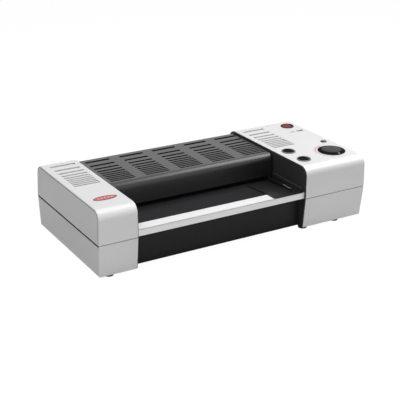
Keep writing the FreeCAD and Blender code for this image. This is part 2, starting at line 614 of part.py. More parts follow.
def feedSide():
    """Silver rail, dark table, front panel, and the rear panel with the exit lip."""
    inside = f"({railFront} + rail_wall)"
    footBack = f"({railFront} + rail_foot)"
    body = alongThroat("front_rail", [
        (railFront, seam), (footBack, seam), (footBack, f"({seam} + rail_wall)"),
        (inside, f"({seam} + rail_wall)"), (inside, f"({railTop} - rail_wall)"),
        (railBack, f"({railTop} - rail_wall)"), (railBack, railTop), (railFront, railTop),
    ])
    grooveFront = f"({railFront} + rail_groove_set_back)"
    groove = rectangle(sketchOn(body, "XY", railTop), (throatLeft, throatRight),
                       (grooveFront, f"({grooveFront} + rail_groove)"))
    pocket(body, groove, "rail_groove_depth")
    node("front_rail", body)
    tableFront = f"({railTop} - table_step)"
    tableEnd = f"({coverFront} + table_reach)"
    node("feed_table", alongThroat("feed_table", [
        (railBack, tableFront), (coverFront, tableFloor), (tableEnd, tableFloor),
        (tableEnd, f"({tableFloor} - table_wall)"), (coverFront, f"({tableFloor} - table_wall)"),
        (railBack, f"({tableFront} - table_wall)"),
    ]))
    panelFront = f"({front} + panel_set_back)"
    panelFoot = f"({panelFront} + panel_slope)"
    panelBottom = f"({under} + panel_lift)"
    node("front_panel", alongThroat("front_panel", [
        (panelFront, seam), (panelFoot, panelBottom), (f"({panelFront} + panel_foot)", panelBottom),
        (f"({panelFront} + panel_foot)", floorTop), (f"({panelFoot} + panel_wall)", floorTop),
        (f"({panelFront} + panel_wall)", seam),
    ]))
    panelBack = f"({back} - rear_panel_set_back)"
    node("rear_panel", alongThroat("rear_panel", [
        (panelBack, seam), (panelBack, panelBottom), (f"({panelBack} - rear_panel_foot)", panelBottom),
        (f"({panelBack} - rear_panel_foot)", floorTop), (f"({panelBack} - panel_wall)", floorTop),
        (f"({panelBack} - panel_wall)", seam),
    ]))
    lipStart = f"({back} - lip_length)"
    node("exit_lip", alongThroat("exit_lip", [
        (lipStart, tableFloor), (f"({panelBack} - lip_ramp)", tableFloor),
        (panelBack, f"({tableFloor} - lip_fall)"), (panelBack, seam), (lipStart, seam),
    ]))


def underside():
    """Steel base plate and the rubber feet."""
    reach = "(end_lean + shell_wall + base_slack)"
    node("base_plate", block("base_plate", (f"({left} + {reach})", f"({right} - {reach})"),
                             (f"(-{baseHalf})", baseHalf), (floorTop, plateTop)))
    feet = []
    for column in leftFeet + rightFeet:
        for footRow in footRows:
            name = f"foot_{len(feet)}"
            sole = rod(name + "_sole", "foot_diameter", column, footRow, ("0", under))
            peg = rod(name + "_peg", "peg_diameter", column, footRow,
                      (f"({under} / 2)", f"({under} + peg_height)"))
            feet.append(fuse(name, sole, peg))
    node("rubber_feet", group("rubber_feet", *feet))


def edgeGuide():
    """Sliding side guide: a plate over the rail and the table, a fence, and a hook in the rail's groove."""
    end = f"({throatRight} - ledge_reach - guide_side_gap)"
    start = f"({end} - guide_width)"
    low = f"({railTop} + guide_gap)"
    guideBack = f"({coverFront} - guide_back_gap)"
    tableSlope = f"(({railTop} - table_step - {tableFloor}) / ({coverFront} - {railBack}))"
    tableDrop = f"({tableSlope} * ({guideBack} - {railBack}))"
    lowBack = f"({railTop} - table_step - {tableDrop} + guide_rise)"
    plateFront = f"({railFront} + rail_groove_set_back + hook_slack)"
    body = newBody("edge_guide")
    plate = outline(sketchOn(body, "YZ", start), [
        (plateFront, low), (railBack, low), (guideBack, lowBack), (guideBack, f"({lowBack} + guide_plate)"),
        (railBack, f"({low} + guide_plate)"), (plateFront, f"({low} + guide_plate)"),
    ])
    pad(body, plate, "guide_width")
    roundEdges(body, "guide_corner", lambda a, b: same(a.x, start) and same(b.x, start)
               and same(a.y, plateFront) and same(b.y, plateFront))
    fenceEnd = f"({end} - fence_inset)"
    fenceFront = f"({front} + fence_front_inset)"
    fenceBack = f"({coverFront} - fence_back_gap)"
    fence = outline(sketchOn(body, "YZ", f"({fenceEnd} - fence_thickness)"), [
        (fenceFront, f"({low} + guide_plate / 2)"), (railBack, f"({low} + guide_plate / 2)"),
        (fenceBack, f"({lowBack} + guide_plate / 2)"), (fenceBack, f"({railTop} + fence_height)"),
        (fenceFront, f"({railTop} + fence_height)"),
    ])
    pad(body, fence, "fence_thickness")
    hookBack = f"({railFront} + rail_groove_set_back + rail_groove - hook_slack)"
    hook = rectangle(sketchOn(body, "YZ", f"({start} + guide_corner)"), (plateFront, hookBack),
                     (f"({railTop} - rail_groove_depth + hook_slack)", f"({low} + guide_plate / 2)"))
    pad(body, hook, "(guide_width - guide_corner)")
    node("edge_guide", body)


# controls

def rockerSwitch(name, column, controlRow):
    """A round switch: a bezel cup through the panel, and a rocker that tilts in it, one side pressed."""
    wellFloor = f"({top} - switch_depth + switch_floor)"
    cupBottom = f"({top} - switch_depth)"
    bezel = rod(name + "_bezel", "bezel_diameter", column, controlRow, (top, f"({top} + bezel_height)"))
    barrel = rod(name + "_barrel", "switch_body", column, controlRow,
                 (cupBottom, f"({top} + bezel_height / 2)"))
    well = rod(name + "_well", "switch_well", column, controlRow,
               (wellFloor, f"({top} + bezel_height + cut_over)"))
    blades = [
        block(f"{name}_blade_{side}", centredSpan(column, "blade_width"),
              centredSpan(f"({controlRow} + {side} * blade_spacing / 2)", "blade_thickness"),
              (controlBoardTop, f"({cupBottom} + blade_bite)"))
        for side in (-1, 1)
    ]
    node(name + "_switch", cut(name + "_switch", fuse(name + "_cup", bezel, barrel, *blades), well))
    body = newBody(name + "_rocker")
    pivot = f"({top} - rocker_pivot_drop)"
    rise = "(rocker_diameter / 2 * tan(rocker_tilt))"
    section = outline(sketchOn(body, "YZ", "(-rocker_diameter / 2)"), [
        ("(-rocker_diameter / 2)", f"(rocker_valley + {rise})"), ("0", "rocker_valley"),
        ("(rocker_diameter / 2)", f"(rocker_valley + {rise})"), ("(rocker_diameter / 2)", "(-rocker_flank)"),
        ("0", "(-rocker_belly)"), ("(-rocker_diameter / 2)", "(-rocker_flank)"),
    ])
    pad(body, section, "rocker_diameter")
    disc = rod(name + "_disc", "rocker_diameter", "0", "0", ("(-2 * rocker_belly)", "(2 * rocker_belly)"))
    rocker = doc.addObject("Part::Common", name + "_rocker")
    rocker.Base = body
    rocker.Tool = disc
    tilt = FreeCAD.Rotation(FreeCAD.Vector(1, 0, 0), measure("rocker_tilt"))
    rocker.Placement = FreeCAD.Placement(FreeCAD.Vector(), tilt)
    bind(rocker, Placement__Base__x=column, Placement__Base__y=controlRow, Placement__Base__z=pivot)
    node(name + "_rocker", rocker)


def temperatureControl():
    """Big knob with a bevelled skirt on a stem, and the rotary control under it."""
    column, controlRow = knobPlace
    low = f"({top} + knob_gap)"
    high = f"({low} + knob_height)"
    body = newBody("temperature_knob")
    radius = "(knob_diameter / 2)"
    profile = outline(sketchOn(body, "XZ"), [
        ("0", f"({top} - stem_length)"), ("(stem_diameter / 2)", f"({top} - stem_length)"),
        ("(stem_diameter / 2)", low), (radius, low), (radius, f"({low} + knob_skirt)"),
        (f"({radius} - knob_taper)", f"({high} - knob_bevel)"), (f"({radius} - knob_taper - knob_bevel)", high),
        ("0", high),
    ])
    turn = body.newObject("PartDesign::Revolution", "knob_turn")
    turn.Profile = profile
    turn.ReferenceAxis = (profile, ["V_Axis"])
    turn.Angle = 360
    bind(body, Placement__Base__x=column, Placement__Base__y=controlRow)
    node("temperature_knob", body)
    can = rod("control_can", "control_body", column, controlRow,
              (controlBoardTop, f"({controlBoardTop} + control_height)"))
    collar = rod("control_collar", "control_bush", column, controlRow,
                 (f"({controlBoardTop} + control_height / 2)", f"({top} - top_wall)"))
    bore = rod("control_bore", "(stem_diameter + 2 * stem_slack)", column, controlRow,
               (f"({top} - stem_length - stem_slack)", top))
    node("temperature_control", cut("temperature_control", fuse("control_outer", can, collar), bore))


def readyLamp():
    """Small domed lens in a dark ring."""
    column, lampRow = lampPlace
    ring = rod("lamp_ring", "lamp_bezel", column, lampRow, (top, f"({top} + lamp_bezel_height)"))
    low = f"({top} - lamp_depth)"
    tube = rod("lamp_tube", "lamp_tube", column, lampRow, (low, f"({top} + lamp_bezel_height / 2)"))
    bore = rod("lamp_bore", "lamp_diameter", column, lampRow, (low, f"({top} + lamp_bezel_height)"))
    node("lamp_bezel", cut("lamp_bezel", fuse("lamp_outer", ring, tube), bore))
    body = newBody("ready_lamp")
    radius = "(lamp_diameter / 2)"
    rim = f"({top} + lamp_bezel_height)"
    profile = outline(sketchOn(body, "XZ"), [
        ("0", low), (radius, low), (radius, rim),
        (f"({radius} * cos(45))", f"({rim} + lamp_dome * sin(45))"), ("0", f"({rim} + lamp_dome)"),
    ])
    turn = body.newObject("PartDesign::Revolution", "lamp_turn")
    turn.Profile = profile
    turn.ReferenceAxis = (profile, ["V_Axis"])
    turn.Angle = 360
    bind(body, Placement__Base__x=column, Placement__Base__y=lampRow)
    node("ready_lamp", body)


def feedBadge():
    """Flat plate with round ends on the left block, for a feed direction mark."""
    column = f"({left} + badge_column)"
    badgeRow = f"({front} + badge_row)"
    half = "((badge_length - badge_width) / 2)"
    high = (top, f"({top} + badge_thickness)")
    middle = block("badge_middle", (f"({column} - {half})", f"({column} + {half})"),
                   centredSpan(badgeRow, "badge_width"), high)
    ends = [rod(f"badge_end_{side}", "badge_width", f"({column} + {side} * {half})", badgeRow, high)
            for side in (-1, 1)]
    node("feed_badge", fuse("feed_badge", middle, *ends))


# boards and mains

def controlBoard():
    """Board under the right block's top, screwed to its posts, that carries the rotary control."""
    node("control_board", block("control_board", (controlBoardStart, controlBoardEnd),
                                (controlBoardFront, controlBoardBack),
                                (f"({controlBoardTop} - board_thickness)", controlBoardTop)))


def powerBoard():
    """Board in the right block's base on four standoffs, with its transformer, relays and capacitors."""
    start = f"({throatRight} + power_board_start)"
    end = f"({right} - power_board_end_gap)"
    near = f"({front} + power_board_front)"
    far = f"({back} - power_board_back_gap)"
    node("power_board", block("power_board", (start, end), (near, far), (powerBoardBottom, powerBoardTop)))
    standoffs = []
    for column in (f"({start} + standoff_inset)", f"({end} - standoff_inset)"):
        for standoffRow in (f"({near} + standoff_inset)", f"({far} - standoff_inset)"):
            standoffs.append(rod(f"standoff_{len(standoffs)}", "standoff_diameter", column, standoffRow,
                                 (plateTop, powerBoardBottom)))
    node("board_standoffs", group("board_standoffs", *standoffs))

    def box(name, kind, inset, boardRow):
        return block(name, (f"({start} + {inset})", f"({start} + {inset} + {kind}_width)"),
                     (f"({near} + {boardRow})", f"({near} + {boardRow} + {kind}_depth)"),
                     (powerBoardTop, f"({powerBoardTop} + {kind}_height)"))

    def can(name, kind, inset, boardRow):
        return rod(name, kind + "_diameter", f"({start} + {inset})", f"({near} + {boardRow})",
                   (powerBoardTop, f"({powerBoardTop} + {kind}_height)"))

    header = block("ribbon_header", centredSpan(ribbonColumn, "header_depth"),
                   centredSpan(ribbonRow, "(ribbon_width + 2 * ribbon_thickness)"),
                   (powerBoardTop, f"({powerBoardTop} + header_height)"))
    node("board_parts", group(
        "board_parts", box("transformer_block", "transformer", "transformer_inset", "transformer_inset"),
        box("front_relay", "relay", "relay_inset", "transformer_inset"),
        box("rear_relay", "relay", "relay_inset", "(transformer_inset + relay_spacing)"),
        box("fuse_holder", "fuse", "fuse_inset", "fuse_row"),
        box("terminal_block", "terminal", "terminal_inset", "terminal_row"),
        can("left_small_can", "small_can", "can_inset", "small_can_row"),
        can("right_small_can", "small_can", "(can_inset + small_can_spacing)", "small_can_row"),
        can("large_capacitor", "large_can", "can_inset", "large_can_row"), header,
    ))


def ribbonCable():
    """Flat lead with a slack bow, from the control board down to the power board."""
    column = ribbonColumn
    half = "(ribbon_thickness / 2)"
    high = f"({controlBoardTop} - board_thickness)"
    low = f"({powerBoardTop} + header_height)"
    middle = f"(({high} + {low}) / 2)"
    bowed = f"({column} + ribbon_bow)"
    path = [(column, high), (column, f"({high} - ribbon_lead)"), (bowed, f"({middle} + ribbon_lead / 2)"),
            (bowed, f"({middle} - ribbon_lead / 2)"), (column, f"({low} + ribbon_lead)"), (column, low)]
    there = [(f"({across} - {half})", rise) for across, rise in path]
    again = [(f"({across} + {half})", rise) for across, rise in reversed(path)]
    body = newBody("ribbon_cable")
    flat = outline(sketchOn(body, "XZ", f"(-{ribbonRow} - ribbon_width / 2)"), there + again)
    pad(body, flat, "ribbon_width")
    roundEdges(body, "ribbon_bend", lambda a, b: close(a.z, b.z) and close(a.x, b.x)
               and not same(a.z, high) and not same(a.z, low))
    node("ribbon_cable", body)


def mainsInlet():
    """Flanged appliance inlet in the back of the right block, with its three pins."""
    body = newBody("mains_inlet")
    outerFace = f"({inletFace} + inlet_flange)"
    pad(body, rectangle(sketchOn(body, "XZ", f"(-{outerFace})"), centredSpan(inletColumn, "inlet_flange_width"),
                        centredSpan(inletHeight, "inlet_flange_height")), "inlet_flange")
    pad(body, rectangle(sketchOn(body, "XZ", f"(-{inletFace})"), centredSpan(inletColumn, "inlet_width"),
                        centredSpan(inletHeight, "inlet_height")), "inlet_depth")
    wellLeft, wellRight = centredSpan(inletColumn, "inlet_well_width")
    wellLow, wellHigh = centredSpan(inletHeight, "inlet_well_height")
    well = outline(sketchOn(body, "XZ", f"(-{outerFace})"), [
        (wellLeft, wellLow), (wellRight, wellLow), (wellRight, f"({wellHigh} - inlet_bevel)"),
        (f"({wellRight} - inlet_bevel)", wellHigh), (f"({wellLeft} + inlet_bevel)", wellHigh),
        (wellLeft, f"({wellHigh} - inlet_bevel)"),
    ])
    pocket(body, well, "inlet_well_depth", along=True)
    places = [(f"({inletColumn} + {side} * pin_spacing)", f"({inletHeight} - pin_offset)") for side in (-1, 1)]
    places.append((inletColumn, f"({inletHeight} + pin_offset)"))
    pins = []
    backFace = f"({inletFace} - inlet_depth)"
    holes = sketchOn(body, "XZ", f"(-{backFace})")
    for column, height in places:
        span = centredSpan(column, "pin_width"), centredSpan(height, "pin_height")
        rectangle(holes, *span)
        pins.append(block(f"inlet_pin_{len(pins)}", span[0],
                          (f"({backFace} - pin_tail)", f"({outerFace} - pin_set_back)"), span[1]))
    pocket(body, holes, f"({outerFace} - {backFace} - inlet_well_depth)")
    node("mains_inlet", body)
    node("inlet_pins", group("inlet_pins", *pins))


# frame

rollerPlaces = {
    "front_lower": (frontRoller, lowerRoller), "front_upper": (frontRoller, upperRoller),
    "rear_lower": (rearRoller, lowerRoller), "rear_upper": (rearRoller, upperRoller),
}
barPlaces = [
    (frontBar, barBottom), (rearBar, barBottom), (lowBar, f"({plateTop} + low_bar_rise)"),
]
barMiddles = [(f"({barRow} + bar_width / 2)", f"({barLow} + bar_height / 2)") for barRow, barLow in barPlaces]
spacerPlaces = [
    (f"({idlerRow} - spacer_side)", f"({motorRise} + spacer_rise)"),
    (f"({idlerRow} + spacer_side)", f"({motorRise} + spacer_rise)"),
]


def sideFrame(label, start, flangeStart, extraHoles):
    """Steel side plate: holes for bushes and bars, spring slots, and a foot flange turned outwards."""
    body = newBody(label)
    low = plateTop
    plate = outline(sketchOn(body, "YZ", start), [
        (frameFront, low), (frameBack, low), (frameBack, f"({frameTop} - frame_corner)"),
        (f"({frameBack} - frame_corner)", frameTop), (f"({frameFront} + frame_corner)", frameTop),
        (frameFront, f"({frameTop} - frame_corner)"),
    ])
    pad(body, plate, "frame_thickness")
    flange = rectangle(sketchOn(body, "XY", low), (flangeStart, f"({flangeStart} + frame_flange)"),
                       (frameFront, baseHalf))
    pad(body, flange, "frame_thickness")
    for rollerRow in (frontRoller, rearRoller):
        slot = rectangle(sketchOn(body, "YZ", start), centredSpan(rollerRow, "spring_slot"),
                         (upperRoller, f"({frameTop} - spring_top)"))
        pocket(body, slot, "frame_thickness", along=True)
    for place in rollerPlaces.values():
        pocket(body, circle(sketchOn(body, "YZ", start), *place, "bush_diameter"), "frame_thickness",
               along=True)
    holes = sketchOn(body, "YZ", start)
    for place in barMiddles:
        circle(holes, *place, "(frame_screw_diameter + 2 * screw_slack)")
    for place, diameter in extraHoles:
        circle(holes, *place, diameter)
    pocket(body, holes, "frame_thickness", along=True)
    node(label, body)


def tieBars():
    """Square bars that hold the two side frames apart and carry the cover, tapped at their ends."""
    bars = []
    for (barRow, barLow), middle in zip(barPlaces, barMiddles):
        name = f"tie_bar_{len(bars)}"
        bar = block(name + "_stock", (leftInner, rightInner), (barRow, f"({barRow} + bar_width)"),
                    (barLow, f"({barLow} + bar_height)"))
        taps = [rod(f"{name}_tap_{side}", "(frame_screw_diameter + 2 * screw_slack)", span, *middle)
                for side, span in enumerate(((leftInner, f"({leftInner} + frame_screw_length)"),
                                             (f"({rightInner} - frame_screw_length)", rightInner)))]
        bars.append(cut(name, bar, *taps))
    node("tie_bars", group("tie_bars", *bars))


def screws():
    """Case screws from below into the shell posts, and frame screws into the bars."""
    caseScrews = []
    tip = f"({floorTop} + case_screw_length - screw_end_gap)"
    for column in leftPosts + rightPosts:
        for postRow in postRows:
            name = f"case_screw_{len(caseScrews)}"
            head = rod(name + "_head", "case_screw_head", column, postRow,
                       (f"({under} - case_screw_head_height)", under))
            shank = rod(name + "_shank", "case_screw_diameter", column, postRow,
                        (f"({under} - case_screw_head_height / 2)", tip))
            caseScrews.append(fuse(name, head, shank))
    node("case_screws", group("case_screws", *caseScrews))
    frameScrews = []
    leftTip = f"({leftInner} + frame_screw_length - screw_end_gap)"
    rightTip = f"({rightInner} - frame_screw_length + screw_end_gap)"
    for middle in barMiddles:
        for headSpan, shankSpan in (
            ((f"({leftFrame} - frame_screw_head_height)", leftFrame),
             (f"({leftFrame} - frame_screw_head_height / 2)", leftTip)),
            ((rightFrame, f"({rightFrame} + frame_screw_head_height)"),
             (rightTip, f"({rightFrame} + frame_screw_head_height / 2)")),
        ):
            name = f"frame_screw_{len(frameScrews)}"
            head = rod(name + "_head", "frame_screw_head", headSpan, *middle)
            shank = rod(name + "_shank", "frame_screw_diameter", shankSpan, *middle)
            frameScrews.append(fuse(name, head, shank))
    node("frame_screws", group("frame_screws", *frameScrews))


def feedGuide():
    """Bent sheet on the front tie bar that leads the pouch down into the nip."""
    face = frontBar
    outside = f"({face} - guide_sheet)"
    lipTop = f"({lipBottom} + guide_sheet)"
    lipEnd = f"({face} + guide_lip_depth)"
    endTop = f"({lipTop} - guide_lip_fall)"
    node("feed_guide", alongThroat("feed_guide", [
        (outside, barTop), (face, barTop), (face, lipTop), (lipEnd, endTop),
        (lipEnd, f"({endTop} - guide_sheet)"), (outside, f"({lipTop} - guide_sheet)"),
    ], f"({throatLeft} + roller_side_gap)", f"({throatRight} - roller_side_gap)"))


def bush(name, place, side):
    """Flanged bearing bush in a side frame, its flange outside."""
    inner, outer, out = (leftInner, leftFrame, -1) if side == "left" else (rightInner, rightFrame, 1)

    def span(start, reach):
        ends = (f"({start})", f"({start} + {out} * {reach})")
        return ends if out == 1 else ends[::-1]

    lead = f"{inner} - {out} * bush_lead"
    barrel = rod(name + "_barrel", "bush_diameter", span(lead, "bush_length"), *place)
    flange = rod(name + "_flange", "bush_flange_diameter", span(outer, "bush_flange"), *place)
    bore = rod(name + "_bore", "(journal_diameter + 2 * journal_slack)",
               span(f"{lead} - {out} * bush_lead", "(2 * bush_length + 2 * bush_lead)"), *place)
    return cut(name, fuse(name + "_outer", barrel, flange), bore)


def bushes():
    node("roller_bushes", group("roller_bushes", *[
        bush(f"{name}_{side}_bush", place, side)
        for name, place in rollerPlaces.items() for side in ("left", "right")
    ]))


def springs():
    """Coils in the frame slots that press the upper bushes down."""
    low = measure(f"({upperRoller} + bush_flange_diameter / 2)")
    high = measure(f"({frameTop} - spring_top)")
    wire = measure("spring_wire")
    radius = (measure("spring_diameter") - wire) / 2
    coil = []
    for plate in (f"({leftInner} - frame_thickness / 2)", f"({rightInner} + frame_thickness / 2)"):
        for rollerRow in (frontRoller, rearRoller):
            rise = high - low - 2 * wire
            helix = Part.makeHelix(rise / measure("spring_turns"), rise, radius)
            ring = Part.makeCircle(wire / 2, FreeCAD.Vector(radius, 0, 0), FreeCAD.Vector(0, 1, 0))
            turn = Part.Wire(helix).makePipeShell([Part.Wire(ring)], True, True)
            turn.translate(FreeCAD.Vector(measure(plate), measure(rollerRow), low + wire))
            coil.append(turn)
    thing = doc.addObject("Part::Feature", "pressure_springs")
    thing.Shape = Part.Compound(coil)
    node("pressure_springs", thing)


# rollers and drive

def rollers():
    """Four silicone sleeves on stepped steel shafts, whose right ends carry the gears."""
    start = f"({throatLeft} + roller_side_gap)"
    end = f"({throatRight} - roller_side_gap)"
    leftEnd = f"({leftFrame} - journal_overrun)"
    core = "(roller_core / 2)"
    journal = "(journal_diameter / 2)"
    for name, place in rollerPlaces.items():
        turned(name + "_shaft", [
            (leftEnd, "0"), (gearEnd, "0"), (gearEnd, journal), (end, journal), (end, core), (start, core),
            (start, journal), (leftEnd, journal),
        ], place)
        turned(name + "_roller", [(start, core), (end, core), (end, "(roller_diameter / 2)"),
                                  (start, "(roller_diameter / 2)")], place)


def gearBlank(teeth, phase):
    """A spur gear of module 1 about the X axis, from gearStart, with a tooth turned to the phase."""
    builder = fcgear.FCWireBuilder()
    involute.CreateExternalGear(builder, 1, teeth, measure("gear_pressure_angle"), True)
    rim = Part.Wire([curve.toShape() for curve in builder.wire])
    solid = Part.Face(rim).extrude(FreeCAD.Vector(0, 0, measure("gear_face")))
    solid.rotate(FreeCAD.Vector(), FreeCAD.Vector(0, 0, 1), math.degrees(phase))
    solid.rotate(FreeCAD.Vector(), FreeCAD.Vector(1, 1, 1), 120)
    solid.translate(FreeCAD.Vector(measure(gearStart), 0, 0))
    return solid


def axle(diameter, start, end):
    """A plain cylinder along the X axis between two places."""
    return Part.makeCylinder(diameter / 2, end - start, FreeCAD.Vector(start, 0, 0), FreeCAD.Vector(1, 0, 0))


def meshed(teeth, phase, otherTeeth, bearing):
    """The phase of a gear that meshes with one at the given bearing from it."""
    pitch = 2 * math.pi / teeth
    otherPitch = 2 * math.pi / otherTeeth
    share = ((bearing - phase) / pitch) % 1
    return bearing + math.pi - (0.5 - share) * otherPitch


def gearNode(label, solid, place):
    thing = doc.addObject("Part::Feature", label)
    thing.Shape = solid
    bind(thing, Placement__Base__y=place[0], Placement__Base__z=place[1])
    return node(label, thing)


def gears():
    """Roller gears in mesh across each nip, the idler between the lower two, and the motor pinion above it."""
    teeth, idler, pinion = (int(measure(name)) for name in ("gear_teeth", "idler_teeth", "pinion_teeth"))
    upwards = math.pi / 2
    phases = {"front_lower": 0.0}
    phases["front_upper"] = meshed(teeth, phases["front_lower"], teeth, upwards)
    idlerPhase = meshed(teeth, phases["front_lower"], idler, 0)
    phases["rear_lower"] = meshed(idler, idlerPhase, teeth, 0)
    phases["rear_upper"] = meshed(teeth, phases["rear_lower"], teeth, upwards)
    seat = axle(measure("journal_diameter"), measure(gearStart), measure(gearEnd))
    for name, place in rollerPlaces.items():
        gearNode(name + "_gear", gearBlank(teeth, phases[name]).cut(seat), place)
    pinBore = axle(measure("idler_pin_diameter + 2 * idler_slack"), measure(gearStart), measure(gearEnd))
    gearNode("idler_gear", gearBlank(idler, idlerPhase).cut(pinBore), (idlerRow, lowerRoller))
    shaft = axle(measure("motor_shaft"), measure(gearStart), measure(f"({motorFace} + motor_shaft_depth)"))
    pinionGear = gearBlank(pinion, meshed(idler, idlerPhase, pinion, upwards)).fuse(shaft).removeSplitter()
    gearNode("motor_pinion", pinionGear, (idlerRow, motorRise))


def motor():
    """Motor plate with its spacers and the idler's pin, and the geared motor on it."""
    plate = block("motor_plate_sheet", (motorPlate, motorFace),
                  (f"({idlerRow} - motor_plate_half_width)", f"({idlerRow} + motor_plate_half_width)"),
                  (f"({lowerRoller} - motor_plate_below)", f"({motorRise} + motor_plate_above)"))
    inPlate = f"({motorPlate} + motor_plate_thickness / 2)"
    spacers = [rod(f"motor_spacer_{count}", "spacer_diameter", (rightFrame, inPlate), *place)
               for count, place in enumerate(spacerPlaces)]
    pin = rod("idler_pin", "idler_pin_diameter", (rightInner, inPlate), idlerRow, lowerRoller)
    shaftHole = rod("motor_plate_hole", "motor_shaft_hole", (motorPlate, motorFace), idlerRow, motorRise)
    node("motor_plate", cut("motor_plate", fuse("motor_plate_solid", plate, *spacers, pin), shaftHole))
    gearbox = rod("motor_gearbox", "motor_diameter", (motorFace, f"({motorFace} + motor_length / 2)"),
                  idlerRow, motorRise)
    can = rod("motor_body", "motor_can", (f"({motorFace} + motor_length / 4)", f"({motorFace} + motor_length)"),
              idlerRow, motorRise)
    well = rod("motor_well", "motor_boss",
               (motorFace, f"({motorFace} + motor_shaft_depth + shaft_end_gap)"), idlerRow, motorRise)
    node("drive_motor", cut("drive_motor", fuse("motor_solid", gearbox, can), well))


def heaters():
    """Aluminium heating plates above and below the pouch, each a channel with a flat element in it."""
    near, far = centredSpan(idlerRow, "heater_width")
    elementDeep = centredSpan(idlerRow, "element_width")
    elementAcross = (f"({throatLeft} + element_margin)", f"({throatRight} - element_margin)")
    plates = []
    elements = []
    for side, sign in (("upper", "+"), ("lower", "-")):
        hot = f"({nip} {sign} heater_gap)"
        cool = f"({nip} {sign} (heater_gap + heater_thickness))"
        rim = f"({nip} {sign} (heater_gap + heater_rim_height))"
        body = alongThroat(side + "_heater", [
            (near, hot), (far, hot), (far, rim), (f"({far} - heater_rim)", rim),
            (f"({far} - heater_rim)", cool), (f"({near} + heater_rim)", cool),
            (f"({near} + heater_rim)", rim), (near, rim),
        ], leftInner, rightInner)
        plates.append(body)
        ends = (cool, f"({cool} {sign} element_thickness)")
        high = ends if sign == "+" else ends[::-1]
        elements.append(block(side + "_element", elementAcross, elementDeep, high))
    node("heater_plates", group("heater_plates", *plates))
    node("heating_elements", group("heating_elements", *elements))


def build():
    leftBlock()
    rightBlock()
    cheek("left_cheek", leftInner, throatLeft, "1", "left_cheek_set_in")
    cheek("right_cheek", rightInner, throatRight, "(-1)", "0")
    centreCover()
    feedSide()
    underside()
    edgeGuide()
    for name, place in switchPlaces.items():
        rockerSwitch(name, *place)
    temperatureControl()
    readyLamp()
    feedBadge()
    controlBoard()
    powerBoard()
    ribbonCable()
    mainsInlet()
    sideFrame("left_side_frame", leftFrame, f"({leftInner} - frame_flange)", [])
    sideFrame("right_side_frame", rightInner, rightInner, [((idlerRow, lowerRoller), "idler_pin_diameter")])
    tieBars()
    screws()
    feedGuide()
    bushes()
    springs()
    rollers()
    gears()
    motor()
    heaters()


def check():
    """Stop before anything is written if an object failed or a sub-part is not a sound solid."""
    doc.recompute()
    for thing in doc.Objects:
        if "Invalid" in thing.State or "Error" in thing.State:
            raise ValueError(f"{thing.Name} failed")
    for label, thing in nodes.items():
        if thing.Shape.isNull() or not thing.Shape.isValid() or not thing.Shape.Solids:
            raise ValueError(f"{label} is not a sound solid")


def write():
    os.makedirs("parts", exist_ok=True)
    for label, thing in nodes.items():
        thing.Shape.exportStep(f"parts/{label}.step")
    print(len(nodes), "sub-parts written")


build()
check()
write()
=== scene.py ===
# Pouch laminator: finishes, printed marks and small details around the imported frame.
# Metres. +X towards the controls block, +Y to the back, +Z up, standing on z = 0.
import json
import math

import bmesh
import bpy
from mathutils import Matrix, Vector


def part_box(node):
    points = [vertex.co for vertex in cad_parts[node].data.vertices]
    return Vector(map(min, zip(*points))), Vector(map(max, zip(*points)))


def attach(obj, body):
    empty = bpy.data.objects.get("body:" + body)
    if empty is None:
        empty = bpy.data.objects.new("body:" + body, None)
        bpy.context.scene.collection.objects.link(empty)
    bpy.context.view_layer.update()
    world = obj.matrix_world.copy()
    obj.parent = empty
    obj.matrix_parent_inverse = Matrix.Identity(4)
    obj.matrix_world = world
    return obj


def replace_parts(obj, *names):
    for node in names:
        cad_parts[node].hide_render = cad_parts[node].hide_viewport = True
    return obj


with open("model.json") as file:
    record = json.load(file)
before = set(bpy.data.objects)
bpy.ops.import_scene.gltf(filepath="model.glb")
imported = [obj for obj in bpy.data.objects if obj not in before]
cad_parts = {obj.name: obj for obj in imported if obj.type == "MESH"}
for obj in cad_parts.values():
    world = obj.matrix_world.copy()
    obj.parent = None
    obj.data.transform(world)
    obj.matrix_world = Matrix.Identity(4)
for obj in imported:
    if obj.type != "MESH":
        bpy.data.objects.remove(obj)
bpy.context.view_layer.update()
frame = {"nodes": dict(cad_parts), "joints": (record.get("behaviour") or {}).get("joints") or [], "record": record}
nodes = frame["nodes"]
mm = 0.001
print("frame loaded")


# shader graph

class Wire:
    # an output socket that can be used in arithmetic
    def __init__(self, finish, socket):
        self.finish = finish
        self.socket = socket

    def math(self, operation, *values, **settings):
        return self.finish.node("Math", {"operation": operation, **settings}, dict(enumerate(values)))

    def __add__(self, other):
        return self.math("ADD", self, other)

    def __sub__(self, other):
        return self.math("SUBTRACT", self, other)

    def __rsub__(self, other):
        return self.math("SUBTRACT", other, self)

    def __mul__(self, other):
        return self.math("MULTIPLY", self, other)

    def __gt__(self, other):
        return self.math("GREATER_THAN", self, other)

    def __lt__(self, other):
        return self.math("LESS_THAN", self, other)

    __radd__ = __add__
    __rmul__ = __mul__

    def clamped(self):
        return self.math("MULTIPLY", self, 1.0, use_clamp=True)


